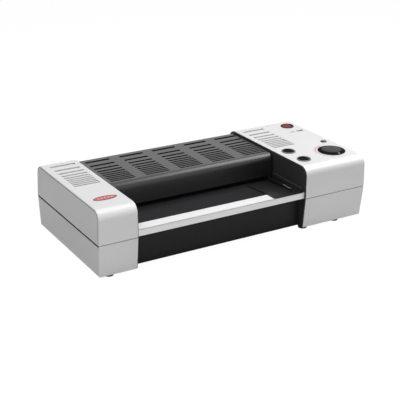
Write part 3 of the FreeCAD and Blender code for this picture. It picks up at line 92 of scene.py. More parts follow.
class Finish:
    # a material, or the world, and the nodes in it
    def __init__(self, name, kind="materials"):
        self.owner = getattr(bpy.data, kind).new(name)
        self.owner.use_nodes = True
        self.tree = self.owner.node_tree
        self.tree.nodes.clear()

    def node(self, kind, settings=None, values=None, output=0):
        made = self.tree.nodes.new("ShaderNode" + kind)
        for name, setting in (settings or {}).items():
            if name == "stops":
                ramp = made.color_ramp.elements
                for index, (place, grey) in enumerate(setting):
                    stop = ramp[index] if index < 2 else ramp.new(place)
                    stop.position = place
                    stop.color = (grey, grey, grey, 1)
            else:
                setattr(made, name, setting)
        for key, value in (values or {}).items():
            if isinstance(value, Wire):
                self.tree.links.new(value.socket, made.inputs[key])
            else:
                made.inputs[key].default_value = value
        return Wire(self, made.outputs[output]) if made.outputs else None

    def place(self):
        return self.node("TexCoord", output="Object")

    def noise(self, size, detail=2.0, roughness=0.5):
        return self.node("TexNoise", {}, {"Vector": self.place(), "Scale": 1 / size, "Detail": detail,
                                          "Roughness": roughness})

    def cells(self, size):
        return self.node("TexVoronoi", {}, {"Vector": self.place(), "Scale": 1 / size})

    def within(self, low, high):
        # 1 inside a box in the object's own space
        inside = 1.0
        for axis in range(3):
            place = self.node("SeparateXYZ", {}, {"Vector": self.place()}, output=axis)
            inside = (place > low[axis]) * (place < high[axis]) * inside
        return inside

    def rays(self):
        # 1 on rays from the camera, from a reflection and through glass
        outputs = self.node("LightPath").socket.node.outputs
        return [Wire(self, outputs[kind]) for kind in ("Is Camera Ray", "Is Glossy Ray", "Is Transmission Ray")]

    def ramp(self, value, *stops):
        return self.node("ValToRGB", {"stops": stops}, {"Fac": value})

    def blend(self, factor, first, second):
        return self.node("Mix", {"data_type": "RGBA"}, {0: factor, 6: first, 7: second}, output=2)

    def mix(self, factor, first, second):
        return self.node("MixShader", {}, {"Fac": factor, 1: first, 2: second})

    def relief(self, height, depth):
        return self.node("Bump", {}, {"Height": height, "Distance": depth})

    def skin(self, **values):
        named = {key.replace("_", " "): value for key, value in values.items()}
        self.node("OutputMaterial", {}, {"Surface": self.node("BsdfPrincipled", {}, named)})
        return self.owner


def colour(red, green, blue):
    # screen values 0-255 as a linear colour
    def linear(value):
        value /= 255
        return value / 12.92 if value <= 0.04045 else ((value + 0.055) / 1.055) ** 2.4
    return (linear(red), linear(green), linear(blue), 1.0)


def shaded(base, share):
    # the same colour, darker or lighter
    return colour(*[min(255, value * share) for value in base])


plastic = {"cloudSize": 60 * mm, "cloudShade": 0.94, "speckShade": 1.15, "speckShare": 0.2, "roughSpread": 0.12,
           "coatRoughness": 0.2}


def mouldedPlastic(name, base, roughness, grain, depth, specular=0.5, coat=0.0):
    # injection-moulded plastic: spark-eroded grain, faint cloudiness, slightly lighter high spots
    f = Finish(name)
    cloud = f.noise(plastic["cloudSize"], detail=3)
    grains = f.noise(grain, detail=3, roughness=0.65)
    tone = f.blend(f.ramp(cloud, (0.35, 0.0), (0.65, 1.0)), colour(*base), shaded(base, plastic["cloudShade"]))
    speck = f.ramp(grains, (0.38, 0.0), (0.62, 1.0))
    tone = f.blend(speck * plastic["speckShare"], tone, shaded(base, plastic["speckShade"]))
    return f.skin(Base_Color=tone, Roughness=roughness + (grains - 0.5) * plastic["roughSpread"],
                  Coat_Weight=coat, Coat_Roughness=plastic["coatRoughness"], Specular_IOR_Level=specular,
                  Normal=f.relief(grains, depth))


silver = {"shell": (223, 223, 224), "rail": (238, 238, 239), "flake": (250, 250, 252), "bareAndShade": (204, 204, 206),
          "flakeSize": 0.9 * mm, "flakeShare": 0.16, "cloudSize": 90 * mm, "cloudShade": 0.985,
          "grain": 0.7 * mm, "depth": 0.05 * mm, "roughness": 0.48, "roughSpread": 0.12,
          "shellMetal": 0.35, "railMetal": 0.6, "coat": 0.1, "coatRoughness": 0.3}


def silverPaint(name, base, metal, slots=None):
    # silver-white paint: tiny flakes under a satin coat, and a darker tone in a block's blind air slots, partly
    # barer plastic and partly painted shade in the recesses
    f = Finish(name)
    flakes = f.cells(silver["flakeSize"])
    cloud = f.noise(silver["cloudSize"])
    grains = f.noise(silver["grain"])
    tone = f.blend(f.ramp(cloud, (0.3, 0.0), (0.7, 1.0)), colour(*base), shaded(base, silver["cloudShade"]))
    speck = f.ramp(flakes, (0.1, 1.0), (0.5, 0.0))
    tone = f.blend(speck * silver["flakeShare"], tone, colour(*silver["flake"]))
    if slots:
        # the slot recesses darker: barer plastic, and painted shade where the recesses are shadowed
        tone = f.blend(f.within(*slots), tone, colour(*silver["bareAndShade"]))
    return f.skin(Base_Color=tone, Metallic=metal, Coat_Weight=silver["coat"],
                  Roughness=silver["roughness"] + grains * silver["roughSpread"],
                  Coat_Roughness=silver["coatRoughness"], Normal=f.relief(grains, silver["depth"]))


airSlots = {"left": 38 * mm, "right": 35 * mm, "half": 24.3 * mm, "front": 16 * mm, "back": 126 * mm,
            "deep": 3 * mm, "skin": 0.25 * mm}


def slotRoom(side):
    # the space that the air slots of a block take up, under the skin of its top, where the paint is darker as
    # barer plastic and painted shade
    low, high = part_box(side + "_upper_shell")
    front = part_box("centre_cover")[0].y
    middle = low.x + airSlots[side]
    return ((middle - airSlots["half"], front + airSlots["front"], high.z - airSlots["deep"]),
            (middle + airSlots["half"], front + airSlots["back"], high.z - airSlots["skin"]))


brushed = {"lineSize": 1.2 * mm, "lineShade": 0.86, "depth": 0.02 * mm, "roughSpread": 0.16, "metallic": 0.95}


def brushedMetal(name, base, roughness, stretch):
    # metal with fine lines along its longer way
    f = Finish(name)
    stretched = f.node("Mapping", {}, {"Vector": f.place(), "Scale": stretch})
    lines = f.node("TexNoise", {}, {"Vector": stretched, "Scale": 1 / brushed["lineSize"], "Detail": 4.0})
    tone = f.blend(f.ramp(lines, (0.3, 0.0), (0.7, 1.0)), shaded(base, brushed["lineShade"]), colour(*base))
    return f.skin(Base_Color=tone, Metallic=brushed["metallic"],
                  Roughness=roughness + (lines - 0.5) * brushed["roughSpread"],
                  Normal=f.relief(lines, brushed["depth"]))


rubber = {"shade": 0.8, "depth": 0.06 * mm, "roughSpread": 0.15, "specular": 0.3}


def rubberSkin(name, base, roughness, grain):
    f = Finish(name)
    grains = f.noise(grain, detail=4)
    return f.skin(Base_Color=f.blend(grains, shaded(base, rubber["shade"]), colour(*base)),
                  Roughness=roughness + (grains - 0.5) * rubber["roughSpread"],
                  Specular_IOR_Level=rubber["specular"], Normal=f.relief(grains, rubber["depth"]))


board = {"mask": (16, 74, 40), "track": (28, 96, 52), "solder": (190, 190, 185), "trackScale": 120.0,
         "wander": 6.0, "dotSpacing": 7 * mm, "dotSize": 0.16, "roughness": 0.4, "solderGloss": 0.1,
         "solderMetal": 0.8, "depth": 0.05 * mm}


def laminateBoard(name):
    # green circuit board with tracks under the mask and bright solder dots
    f = Finish(name)
    tracks = f.node("TexWave", {"wave_type": "BANDS", "bands_direction": "Y"},
                    {"Vector": f.place(), "Scale": board["trackScale"], "Distortion": board["wander"],
                     "Detail": 1.0})
    solder = f.cells(board["dotSpacing"]) < board["dotSize"]
    tone = f.blend(f.ramp(tracks, (0.45, 0.0), (0.55, 1.0)), colour(*board["mask"]), colour(*board["track"]))
    tone = f.blend(solder, tone, colour(*board["solder"]))
    return f.skin(Base_Color=tone, Roughness=board["roughness"] - solder * board["solderGloss"],
                  Metallic=solder * board["solderMetal"], Normal=f.relief(tracks, board["depth"]))


ink = {"grain": 0.6 * mm, "mottle": 0.3, "shade": 0.85, "roughness": 0.45, "roughSpread": 0.1,
       "depth": 0.01 * mm}


def printInk(name, tone):
    f = Finish(name)
    grains = f.noise(ink["grain"])
    return f.skin(Base_Color=f.blend(grains * ink["mottle"], colour(*tone), shaded(tone, ink["shade"])),
                  Roughness=ink["roughness"] + grains * ink["roughSpread"],
                  Normal=f.relief(grains, ink["depth"]))


finishes = {
    "silver_shell": silverPaint("silverShell", silver["shell"], silver["shellMetal"]),
    "charcoal_cover": mouldedPlastic("charcoalCover", (32, 32, 33), roughness=0.3, grain=0.8 * mm,
                                     depth=0.03 * mm, specular=0.6),
    "black_plastic": mouldedPlastic("blackPlastic", (29, 29, 31), roughness=0.4, grain=0.7 * mm,
                                    depth=0.04 * mm, specular=0.2),
    "knob_plastic": mouldedPlastic("knobPlastic", (48, 47, 48), roughness=0.45, grain=0.6 * mm,
                                   depth=0.03 * mm, specular=0.15),
    "red_plastic": mouldedPlastic("redPlastic", (124, 28, 30), roughness=0.4, grain=1.2 * mm,
                                  depth=0.01 * mm, specular=0.2),
    "lamp_lens": mouldedPlastic("lampLens", (40, 12, 12), roughness=0.15, grain=1.0 * mm,
                                depth=0.005 * mm, coat=0.4),
    "badge_film": printInk("badgeFilm", (236, 206, 206)),
    "foot_rubber": rubberSkin("footRubber", (30, 30, 31), roughness=0.7, grain=1.0 * mm),
    "roller_silicone": rubberSkin("rollerSilicone", (60, 30, 25), roughness=0.55, grain=0.8 * mm),
    "shaft_steel": brushedMetal("shaftSteel", (150, 150, 152), roughness=0.32, stretch=(1, 12, 12)),
    "sheet_steel": brushedMetal("sheetSteel", (150, 152, 154), roughness=0.38, stretch=(1, 6, 6)),
    "heater_aluminium": brushedMetal("heaterAluminium", (46, 46, 48), roughness=0.45, stretch=(0.1, 8, 8)),
    "element_film": printInk("elementFilm", (70, 42, 20)),
    "gear_nylon": mouldedPlastic("gearNylon", (222, 218, 204), roughness=0.4, grain=2 * mm, depth=0.02 * mm),
    "bush_bronze": brushedMetal("bushBronze", (150, 112, 66), roughness=0.4, stretch=(4, 4, 4)),
    "motor_steel": mouldedPlastic("motorSteel", (110, 110, 114), roughness=0.4, grain=1.5 * mm,
                                  depth=0.02 * mm, coat=0.2),
    "board_laminate": laminateBoard("boardLaminate"),
    "part_plastic": mouldedPlastic("partPlastic", (44, 44, 50), roughness=0.45, grain=1.0 * mm,
                                   depth=0.03 * mm),
    "ribbon_grey": printInk("ribbonGrey", (150, 150, 152)),
    "pin_brass": brushedMetal("pinBrass", (200, 178, 120), roughness=0.28, stretch=(6, 1, 6)),
}
inks = {
    "red": printInk("redInk", (112, 30, 34)),
    "rose": printInk("roseInk", (206, 112, 112)),
    "pink": printInk("pinkInk", (222, 140, 132)),
    "grey": printInk("greyInk", (112, 110, 114)),
    "dark": printInk("darkInk", (84, 66, 70)),
    "line": printInk("lineInk", (104, 104, 104)),
    "white": printInk("whiteInk", (228, 228, 226)),
}
# the throat walls get a lighter black than the other black plastic, as painted light for the shade they stand in
# under the cover
wallBlackPaintedLight = mouldedPlastic("wallBlackPaintedLight", (54, 54, 55), roughness=0.4, grain=0.7 * mm, depth=0.03 * mm,
                           specular=0.25)
tableBlack = mouldedPlastic("tableBlack", (48, 48, 51), roughness=0.16, grain=0.7 * mm, depth=0.01 * mm,
                            specular=0.4)
mattBlack = mouldedPlastic("mattBlack", (26, 26, 28), roughness=0.6, grain=0.6 * mm, depth=0.04 * mm,
                           specular=0.015)
bezelGrey = mouldedPlastic("bezelGrey", (128, 128, 130), roughness=0.4, grain=0.6 * mm, depth=0.02 * mm,
                           specular=0.3)
ownFinishes = {
    "left_upper_shell": silverPaint("leftTopSilver", silver["shell"], silver["shellMetal"], slotRoom("left")),
    "right_upper_shell": silverPaint("rightTopSilver", silver["shell"], silver["shellMetal"],
                                     slotRoom("right")),
    "front_rail": silverPaint("railSilver", silver["rail"], silver["railMetal"]),
    "left_cheek": wallBlackPaintedLight, "right_cheek": wallBlackPaintedLight, "feed_table": tableBlack,
}
for part in frame["record"]["subparts"]:
    mesh = nodes[part["node"]].data
    mesh.materials.clear()
    mesh.materials.append(ownFinishes.get(part["node"], finishes[part["material_slot"]]))
print("finishes made")


# making pieces

def addPiece(name, shape, finish, body="machine", smooth=35):
    # a finished mesh as a piece that rides on a body
    mesh = bpy.data.meshes.new(name)
    bmesh.ops.recalc_face_normals(shape, faces=shape.faces)
    shape.to_mesh(mesh)
    shape.free()
    mesh.materials.append(finish)
    for face in mesh.polygons:
        face.use_smooth = True
    mesh.set_sharp_from_angle(angle=math.radians(smooth))
    piece = bpy.data.objects.new(name, mesh)
    bpy.context.scene.collection.objects.link(piece)
    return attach(piece, body)


def middleOf(node):
    low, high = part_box(node)
    return (low + high) / 2


def distinct(corners):
    # the corners of a face without those that fall together
    return [corner for index, corner in enumerate(corners) if corner not in corners[:index]]


def lathe(shape, profile, centre, turns=96, wave=None):
    # turn (radius, height) points about a vertical axis; wave moves a point's radius by its angle
    rings = []
    for radius, height in profile:
        if radius == 0:
            rings.append([shape.verts.new(centre + Vector((0, 0, height)))])
            continue
        ring = []
        for step in range(turns):
            angle = math.tau * step / turns
            reach = radius + (wave(radius, height, angle) if wave else 0)
            point = Vector((reach * math.cos(angle), reach * math.sin(angle), height))
            ring.append(shape.verts.new(centre + point))
        rings.append(ring)
    for lower, upper in zip(rings, rings[1:]):
        for step in range(turns):
            around = (step + 1) % turns
            shape.faces.new(distinct([lower[step % len(lower)], lower[around % len(lower)],
                                     upper[around % len(upper)], upper[step % len(upper)]]))
    return shape


def plate(shape, corners, low, high):
    # a flat plate between two heights from its outline
    floor = [shape.verts.new((x, y, low)) for x, y in corners]
    roof = [shape.verts.new((x, y, high)) for x, y in corners]
    shape.faces.new(list(reversed(floor)))
    shape.faces.new(roof)
    for index in range(len(corners)):
        after = (index + 1) % len(corners)
        shape.faces.new([floor[index], floor[after], roof[after], roof[index]])
    return shape


def rectangle(left, front, right, back):
    # four corners of an upright box
    return [(left, front), (right, front), (right, back), (left, back)]


def band(shape, inner, outer, low, high, closed=True):
    # a flat band between two outlines with the same number of points
    return tube(shape, [[(x, y, height) for x, y in line] for line, height in
                        ((inner, low), (outer, low), (outer, high), (inner, high))], closed)


def tube(shape, lines, closed=False):
    # a four-sided tube along four lines with the same number of points
    count = len(lines[0])
    ways = [[shape.verts.new(point) for point in line] for line in lines]
    for index in range(count if closed else count - 1):
        after = (index + 1) % count
        for side in range(4):
            other = (side + 1) % 4
            shape.faces.new([ways[side][index], ways[side][after], ways[other][after], ways[other][index]])
    if not closed:
        shape.faces.new([way[0] for way in ways])
        shape.faces.new([way[-1] for way in reversed(ways)])
    return shape


def arc(centre, radius, start, end, steps):
    return [(centre.x + radius * math.cos(start + (end - start) * step / steps),
             centre.y + radius * math.sin(start + (end - start) * step / steps)) for step in range(steps + 1)]


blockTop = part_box("right_upper_shell")[1].z
printed = {"low": blockTop - 0.02 * mm, "high": blockTop + 0.06 * mm, "half": 0.04 * mm}


def words(name, text, size, x, y, finish, spread=1.0, bold=0.02):
    # raised print on the controls block, from the built-in face
    face = bpy.data.curves.new(name, "FONT")
    face.body = text
    face.size = size
    face.align_x = "CENTER"
    face.align_y = "CENTER"
    face.extrude = printed["half"]
    face.offset = bold * size
    face.space_character = spread
    maker = bpy.data.objects.new(name + "Maker", face)
    bpy.context.scene.collection.objects.link(maker)
    bpy.context.view_layer.update()
    mesh = bpy.data.meshes.new_from_object(maker.evaluated_get(bpy.context.evaluated_depsgraph_get()))
    bpy.data.objects.remove(maker)
    mesh.transform(Matrix.Translation((x, y, printed["high"] - printed["half"])))
    mesh.materials.clear()
    mesh.materials.append(finish)
    piece = bpy.data.objects.new(name, mesh)
    bpy.context.scene.collection.objects.link(piece)
    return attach(piece, "machine")


# top of the controls block

knob = {"radius": 25.8 * mm, "topRadius": 18.6 * mm, "stem": 3 * mm, "gap": 0.4 * mm, "skirt": 0.6 * mm,
        "skirtInset": 0.5 * mm, "skirtRise": 0.35 * mm, "edgeInset": 0.3 * mm, "edgeRise": 0.2 * mm,
        "shoulder": 0.8 * mm, "shoulderDrop": 0.35 * mm, "brim": 0.7 * mm, "brimDrop": 0.04 * mm,
        "groove": 16.6 * mm, "grooveHalf": 0.5 * mm, "grooveDeep": 0.3 * mm, "outerLip": 0.02 * mm,
        "innerLip": 0.05 * mm, "dish": 0.25 * mm, "ribs": 60, "ribDepth": 0.35 * mm, "ribFrom": 0.3 * mm,
        "ribTo": 0.2 * mm, "turns": 360}
pointerBar = {"wide": 3.4 * mm, "from": 20.4 * mm, "fromDrop": 0.55 * mm, "toInset": 0.7 * mm,
              "toRise": 1.05 * mm, "proud": 0.12 * mm, "sunk": 0.6 * mm}


def makeKnob():
    low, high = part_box("temperature_knob")
    centre = Vector(((low.x + high.x) / 2, (low.y + high.y) / 2, 0))
    rim, peak = blockTop + knob["gap"], high.z
    radius, topRadius, groove, stem = (knob[size] for size in ("radius", "topRadius", "groove", "stem"))
    skirtTop = rim + knob["skirt"]
    profile = [
        (0, low.z), (stem, low.z), (stem, rim), (radius - knob["edgeInset"], rim),
        (radius, rim + knob["edgeRise"]), (radius, skirtTop),
        (radius - knob["skirtInset"], skirtTop + knob["skirtRise"]),
        (topRadius + knob["shoulder"], peak - knob["shoulderDrop"]),
        (topRadius, peak - knob["brimDrop"]), (topRadius - knob["brim"], peak),
        (groove + knob["grooveHalf"], peak - knob["outerLip"]), (groove, peak - knob["grooveDeep"]),
        (groove - knob["grooveHalf"], peak - knob["innerLip"]), (groove * 0.5, peak - knob["dish"]),
        (0, peak - knob["dish"]),
    ]

    def ribs(reach, height, angle):
        # vertical ribs round the sloping flank
        if topRadius + knob["ribFrom"] < reach < radius - knob["ribTo"] and height > skirtTop:
            return -knob["ribDepth"] * (0.5 + 0.5 * math.cos(knob["ribs"] * angle))
        return 0

    body = addPiece("dialKnob", lathe(bmesh.new(), profile, centre, knob["turns"], ribs),
                    finishes["knob_plastic"], "knob")
    # the sloping flank takes the matt black as painted shade, so the knob's side is darker than its top
    body.data.materials.append(mattBlack)
    for face in body.data.polygons:
        reach = math.hypot(face.center.x - centre.x, face.center.y - centre.y)
        face.material_index = int(reach > topRadius)
    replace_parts(body, "temperature_knob")
    pointer = bmesh.new()
    half = pointerBar["wide"] / 2
    for reach, tall in ((pointerBar["from"], peak - pointerBar["fromDrop"]),
                        (radius - pointerBar["toInset"], rim + pointerBar["toRise"])):
        for side in (-1, 1):
            for height in (tall + pointerBar["proud"], tall - pointerBar["sunk"]):
                pointer.verts.new((centre.x + side * half, centre.y - reach, height))
    bmesh.ops.convex_hull(pointer, input=pointer.verts)
    addPiece("dialPointer", pointer, inks["grey"], "knob")


scale = {"inner": 29.5 * mm, "thin": 0.7 * mm, "thick": 2.8 * mm, "start": -95, "sweep": -170, "steps": 120,
         "numbers": 7, "numberRadius": 34.6 * mm, "numberSize": 3.2 * mm}


def makeScale():
    # a heat wedge that grows clockwise round the dial, with plain numbers
    centre = middleOf("temperature_knob")
    start, sweep, steps = math.radians(scale["start"]), math.radians(scale["sweep"]), scale["steps"]
    inner = arc(centre, scale["inner"], start, start + sweep, steps)
    outer = []
    for step in range(steps + 1):
        reach = scale["inner"] + scale["thin"] + (scale["thick"] - scale["thin"]) * step / steps
        angle = start + sweep * step / steps
        outer.append((centre.x + reach * math.cos(angle), centre.y + reach * math.sin(angle)))
    wedge = band(bmesh.new(), inner, outer, printed["low"], printed["high"], closed=False)
    addPiece("heatWedge", wedge, inks["pink"])
    for number in range(scale["numbers"]):
        angle = start + sweep * number / (scale["numbers"] - 1)
        words(f"scaleNumber{number}", str(number), scale["numberSize"],
              centre.x + scale["numberRadius"] * math.cos(angle),
              centre.y + scale["numberRadius"] * math.sin(angle), inks["pink"])


rocker = {"radius": 10.5 * mm, "depth": 5 * mm, "edgeDepth": 3 * mm, "valley": 3.4 * mm, "rise": 1.5 * mm,
          "hollow": 1.6, "rim": 0.5 * mm, "tilt": math.radians(8), "rings": 14, "turns": 72}


def makeRocker(body, pivot, finish):
    # a round rocker with a smooth hollow across its pivot, pressed on one side
    shape = bmesh.new()
    tilt = Matrix.Rotation(rocker["tilt"], 3, "X")

    def top(x, y):
        across = abs(y) / rocker["radius"]
        edge = max(0.0, math.hypot(x, y) - (rocker["radius"] - rocker["rim"])) / rocker["rim"]
        fall = rocker["rim"] * (1 - math.sqrt(max(0.0, 1 - edge ** 2)))
        return rocker["valley"] + rocker["rise"] * across ** rocker["hollow"] - fall

    def foot(x, y):
        deeper = rocker["depth"] - rocker["edgeDepth"]
        return -rocker["edgeDepth"] - deeper * (1 - abs(y) / rocker["radius"])

    def ringOf(radius, height, turns):
        points = []
        for step in range(turns):
            angle = math.tau * step / rocker["turns"]
            x, y = radius * math.cos(angle), radius * math.sin(angle)
            points.append(shape.verts.new(tilt @ Vector((x, y, height(x, y))) + pivot))
        return points

    rings = [ringOf(rocker["radius"] * (ring / rocker["rings"]), top, rocker["turns"] if ring else 1)
             for ring in range(rocker["rings"] + 1)]
    base = ringOf(rocker["radius"], foot, rocker["turns"])
    rings.append(base)
    for lower, upper in zip(rings, rings[1:]):
        for step in range(rocker["turns"]):
            around = (step + 1) % rocker["turns"]
            shape.faces.new(distinct([lower[step % len(lower)], upper[step], upper[around],
                                     lower[around % len(lower)]]))
    shape.faces.new(base)
    piece = addPiece(body + "Rocker", shape, finish, body, smooth=50)
    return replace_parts(piece, body + "_rocker")


bezel = {"radius": 13.2 * mm, "height": 1.8 * mm, "barrel": 12.1 * mm, "well": 11.3 * mm, "floor": 10 * mm,
         "bottom": 14 * mm, "bladeWide": 4.8 * mm, "bladeThick": 0.8 * mm, "bladeSpacing": 7 * mm,
         "bladeBite": 0.5 * mm,
         # (inset, drop) of the rounded rim, from the well's edge and from the outer edge
         "wellEdge": ((0, 0.7 * mm), (0.25 * mm, 0.2 * mm), (0.7 * mm, 0)),
         "outerEdge": ((0.9 * mm, 0.1 * mm), (0.25 * mm, 0.6 * mm), (0, 1.2 * mm))}


def makeSwitch(body):
    # bezel with a rounded rim, its cup through the panel, and two blades below
    node = body + "_switch"
    low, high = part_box(node)
    centre = Vector(((low.x + high.x) / 2, (low.y + high.y) / 2, blockTop))
    well, radius, barrel, rim = (bezel[size] for size in ("well", "radius", "barrel", "height"))
    profile = [(0, -bezel["floor"]), (well, -bezel["floor"])]
    profile += [(well + inset, rim - drop) for inset, drop in bezel["wellEdge"]]
    profile += [(radius - inset, rim - drop) for inset, drop in bezel["outerEdge"]]
    profile += [(radius, 0), (barrel, 0), (barrel, -bezel["bottom"]), (0, -bezel["bottom"])]
    shape = lathe(bmesh.new(), profile, centre)
    wide, thick = bezel["bladeWide"] / 2, bezel["bladeThick"] / 2
    for side in (-1, 1):
        y = centre.y + side * bezel["bladeSpacing"] / 2
        plate(shape, rectangle(centre.x - wide, y - thick, centre.x + wide, y + thick),
              low.z, centre.z - bezel["bottom"] + bezel["bladeBite"])
    finish = finishes["black_plastic"] if body == "power" else bezelGrey
    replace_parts(addPiece(body + "Bezel", shape, finish), node)


powerWords = {"row": 35 * mm, "words": (  # name, text, place across, letter height, spacing, boldness, ink
    ("onWord", "ON", -12 * mm, 6.5 * mm, 1.1, 0.04, "grey"),
    ("offWord", "OFF", 6 * mm, 8.5 * mm, 1.0, 0.07, "dark"),
)}


def makeControls():
    makeKnob()
    makeScale()
    pivots = {joint["child"]: Vector(joint["pos_m"]) for joint in frame["joints"]}
    for body in ("mode", "reverse", "power"):
        makeSwitch(body)
        red = body == "power"
        makeRocker(body, pivots[body], finishes["red_plastic"] if red else mattBlack)
    middle = middleOf("power_switch")
    for name, text, across, size, spread, bold, tone in powerWords["words"]:
        words(name, text, size, middle.x + across, middle.y - powerWords["row"], inks[tone], spread, bold)


# feed mark on the left block

badge = {"ring": 1.8 * mm, "ringEnds": 2.4, "steps": 72, "pointed": 0.9, "sunk": 0.1 * mm, "bite": 0.02 * mm,
         "marks": 5, "markSpan": 24 * mm, "markWidth": 2.4 * mm, "markTall": 6.4 * mm, "markThick": 2.6 * mm,
         "markProud": 0.06 * mm}


def lens(centre, length, width):
    # an oval that narrows towards its ends
    points = []
    for step in range(badge["steps"]):
        angle = math.tau * step / badge["steps"]
        rise = abs(math.sin(angle)) ** (1 / badge["pointed"])
        points.append((centre.x + length / 2 * math.cos(angle),
                       centre.y + math.copysign(rise, math.sin(angle)) * width / 2))
    return points


def makeBadge():
    low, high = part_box("feed_badge")
    centre = (low + high) / 2
    length, width = high.x - low.x, high.y - low.y
    level = high.z - badge["sunk"]
    outline = lens(centre, length, width)
    field = addPiece("badgeField", plate(bmesh.new(), outline, low.z, level), inks["rose"])
    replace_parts(field, "feed_badge")
    inner = lens(centre, length - badge["ringEnds"] * badge["ring"], width - 2 * badge["ring"])
    ring = band(bmesh.new(), inner, outline, level - badge["bite"], high.z)
    addPiece("badgeRing", ring, inks["red"])
    marks = bmesh.new()
    tall, wide, thick = badge["markTall"] / 2, badge["markWidth"] / 2, badge["markThick"]
    for number in range(badge["marks"]):
        x = centre.x + badge["markSpan"] * (number / (badge["marks"] - 1) - 0.5)
        corners = [(x - wide, centre.y - tall), (x, centre.y + tall - thick), (x + wide, centre.y - tall),
                   (x + wide, centre.y - tall + thick), (x, centre.y + tall),
                   (x - wide, centre.y - tall + thick)]
        plate(marks, corners, level - badge["bite"], level + badge["markProud"])
    addPiece("feedChevrons", marks, inks["white"])


# seams and small marks, with painted shade in the seams and a painted highlight on the guide's fence

seam = {"tall": 2.9 * mm, "deep": 1.6 * mm, "proud": 0.03 * mm, "ends": 2.6 * mm, "gap": 0.02 * mm}


def makeSeams():
    # dark strip between the two halves of each block's outer end, painted shade for the shadow in the gap under
    # the upper half
    for side, sign in (("left", -1), ("right", 1)):
        upperLow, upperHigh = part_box(side + "_upper_shell")
        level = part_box(side + "_lower_shell")[1].z
        outer = (upperLow.x if sign < 0 else upperHigh.x) - sign * seam["proud"]
        inner = outer - sign * seam["deep"]
        front, back = upperLow.y + seam["ends"], upperHigh.y - seam["ends"]
        corners = [(outer, front), (outer, back), (inner, back), (inner, front)]
        strip = plate(bmesh.new(), corners, level - seam["tall"], level - seam["gap"])
        addPiece(side + "SeamShadeStrip", strip, finishes["foot_rubber"])


endLine = {"inset": 1.9 * mm, "wide": 1.3 * mm, "proud": 0.03 * mm, "deep": 0.3 * mm, "depth": 18 * mm,
           "rise": 16 * mm, "lean": 0.0275, "foot": 64 * mm, "draft": 0.9 * mm, "steps": 16}


def endOutline(low, high, inset):
    # outline of a block's end, from its seam up and over to the other side, inset from the edge
    line = [(low.y + inset, endLine["foot"])]
    for sign, middle in ((-1, low.y + endLine["depth"]), (1, high.y - endLine["depth"])):
        for step in range(endLine["steps"] + 1):
            angle = math.pi / 2 * step / endLine["steps"]
            angle = angle if sign < 0 else math.pi / 2 - angle
            line.append((middle + sign * (endLine["depth"] - inset - endLine["draft"]) * math.cos(angle),
                         high.z - endLine["rise"] + (endLine["rise"] - inset) * math.sin(angle)))
    line.append((high.y - inset, endLine["foot"]))
    return line


def makeEndLines():
    # fine grey line where each upper shell's flat end meets its rounded edge
    near = endLine["inset"]
    far = near + endLine["wide"]
    for side, sign in (("left", -1), ("right", 1)):
        low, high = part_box(side + "_upper_shell")
        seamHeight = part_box(side + "_lower_shell")[1].z
        ways = []
        for inset, out in ((near, -endLine["deep"]), (near, endLine["proud"]), (far, endLine["proud"]),
                           (far, -endLine["deep"])):
            way = []
            for y, z in endOutline(low, high, inset):
                wall = (low.x if sign < 0 else high.x) - sign * endLine["lean"] * (z - seamHeight)
                way.append((wall + sign * out, y, z))
            ways.append(way)
        addPiece(side + "EndLine", tube(bmesh.new(), ways), inks["line"])


shadeLines = {"inner": 0.4 * mm, "outer": 2.5 * mm, "seamTall": 1.0 * mm, "over": 0.02 * mm,
             "proud": 0.05 * mm, "deep": 0.4 * mm, "railInset": 0.2 * mm, "railRight": 1.8 * mm,
             "railWide": 1.4 * mm}


def makeTrimLines():
    # thin grey lines of painted shade: at the seam on the front of both blocks, and along the top front edge of
    # the rail
    for side, left, right in (("left", "outer", "inner"), ("right", "inner", "outer")):
        low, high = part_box(side + "_lower_shell")
        corners = rectangle(low.x + shadeLines[left], low.y - shadeLines["proud"],
                            high.x - shadeLines[right], low.y + shadeLines["deep"])
        strip = plate(bmesh.new(), corners, high.z - shadeLines["seamTall"], high.z + shadeLines["over"])
        addPiece(side + "FrontSeamShade", strip, inks["line"])
    low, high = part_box("front_rail")
    corners = rectangle(low.x + shadeLines["railInset"], low.y + shadeLines["railInset"],
                        high.x - shadeLines["railRight"], low.y + shadeLines["railWide"])
    strip = plate(bmesh.new(), corners, high.z - shadeLines["deep"], high.z)
    addPiece("railShadeLine", strip, inks["line"])


guideHighlight = {"inset": 16.2 * mm, "wide": 1.0 * mm, "from": 16.4 * mm, "to": 39 * mm, "proud": 0.06 * mm,
             "sunk": 0.1 * mm}


def makeGuideLine():
    # pale line along the front of the guide's fence, a painted highlight where the fence's top edge catches light
    low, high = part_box("edge_guide")
    x, half = high.x - guideHighlight["inset"], guideHighlight["wide"] / 2
    corners = rectangle(x - half, low.y + guideHighlight["from"], x + half, low.y + guideHighlight["to"])
    strip = plate(bmesh.new(), corners, high.z - guideHighlight["sunk"], high.z + guideHighlight["proud"])
    addPiece("guideHighlightLine", strip, inks["white"], "guide")


makeControls()
makeBadge()
makeSeams()
makeEndLines()
makeTrimLines()
makeGuideLine()
print("controls, marks and seams made")


# stage, light and camera

studio = {
    "floorSize": 30, "floorDrop": 0.05 * mm, "floorTone": (222, 222, 222), "floorWhite": 1.06,
    "floorGlow": 0.92, "floorMirror": 0.05, "ambient": 0.1, "ambientTint": (1.0, 1.0, 0.98, 1.0),
    "white": (1, 1, 1, 1),
    "lamps": [  # place, aimed at, width and height, power, tint
        ((1.15, -0.15, 1.5), (0, 0, 0.05), (1.4, 1.0), 20.5, (1.0, 0.99, 1.0)),
        ((-0.6, 0.1, 1.7), (0, 0, 0.05), (1.0, 1.0), 13, (1.0, 1.0, 0.98)),
        ((-0.4, -1.2, 0.3), (0, 0, 0.05), (0.8, 0.8), 3, (1.0, 1.0, 1.0)),
    ],
}


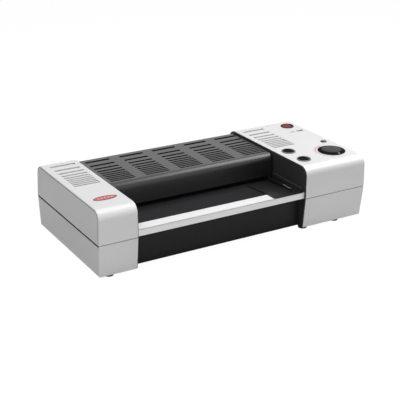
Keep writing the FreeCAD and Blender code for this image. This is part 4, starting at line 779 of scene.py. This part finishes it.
def paleFloor():
    # shows white to the eye and a little in reflections, and keeps part of the floor's own shading
    f = Finish("paleFloor")
    camera, glossy, glass = f.rays()
    shown = (camera * studio["floorGlow"] + (glossy + glass) * studio["floorMirror"]).clamped()
    shade = f.node("BsdfDiffuse", {}, {"Color": colour(*studio["floorTone"])})
    white = f.node("Emission", {}, {"Color": studio["white"], "Strength": studio["floorWhite"]})
    f.node("OutputMaterial", {}, {"Surface": f.mix(shown, shade, white)})
    return f.owner


def paleRoom():
    # white to the eye and in reflections, and a faint light on everything else
    f = Finish("studioWorld", "worlds")
    camera, glossy, glass = f.rays()
    room = f.node("Background", {}, {"Color": studio["ambientTint"], "Strength": studio["ambient"]})
    white = f.node("Background", {}, {"Color": studio["white"]})
    shown = (camera + glossy + glass).clamped()
    f.node("OutputWorld", {}, {"Surface": f.mix(shown, room, white)})
    return f.owner


def makeStage():
    bpy.ops.mesh.primitive_plane_add(size=studio["floorSize"], location=(0, 0, -studio["floorDrop"]))
    floor = bpy.context.object
    floor.name = "floor"
    floor.data.materials.append(paleFloor())
    bpy.context.scene.world = paleRoom()
    for number, (place, target, size, power, tint) in enumerate(studio["lamps"]):
        light = bpy.data.lights.new(f"softbox{number}", "AREA")
        light.shape = "RECTANGLE"
        light.size, light.size_y = size
        light.energy = power
        light.color = tint
        lamp = bpy.data.objects.new(f"softbox{number}", light)
        lamp.location = place
        lamp.rotation_euler = (Vector(target) - Vector(place)).to_track_quat("-Z", "Y").to_euler()
        bpy.context.scene.collection.objects.link(lamp)


view = {"azimuth": -31.27, "elevation": 22.38, "roll": 0.78, "lens": 86.4, "sensor": 36,
        "place": (-0.85558, -1.39658, 0.71558)}


def makeCamera():
    azimuth, elevation, roll = (math.radians(view[name]) for name in ("azimuth", "elevation", "roll"))
    backward = Vector((math.sin(azimuth) * math.cos(elevation), -math.cos(azimuth) * math.cos(elevation),
                       math.sin(elevation)))
    right = Vector((0, 0, 1)).cross(backward).normalized()
    up = backward.cross(right)
    tilted = Matrix((right, up, backward)).transposed() @ Matrix.Rotation(roll, 3, "Z")
    optics = bpy.data.cameras.new("camera")
    optics.lens = view["lens"]
    optics.sensor_width = view["sensor"]
    camera = bpy.data.objects.new("camera", optics)
    camera.matrix_world = Matrix.Translation(view["place"]) @ tilted.to_4x4()
    bpy.context.scene.collection.objects.link(camera)
    bpy.context.scene.camera = camera


makeStage()
makeCamera()
bpy.context.scene.view_settings.view_transform = "Standard"
print("stage and camera set")
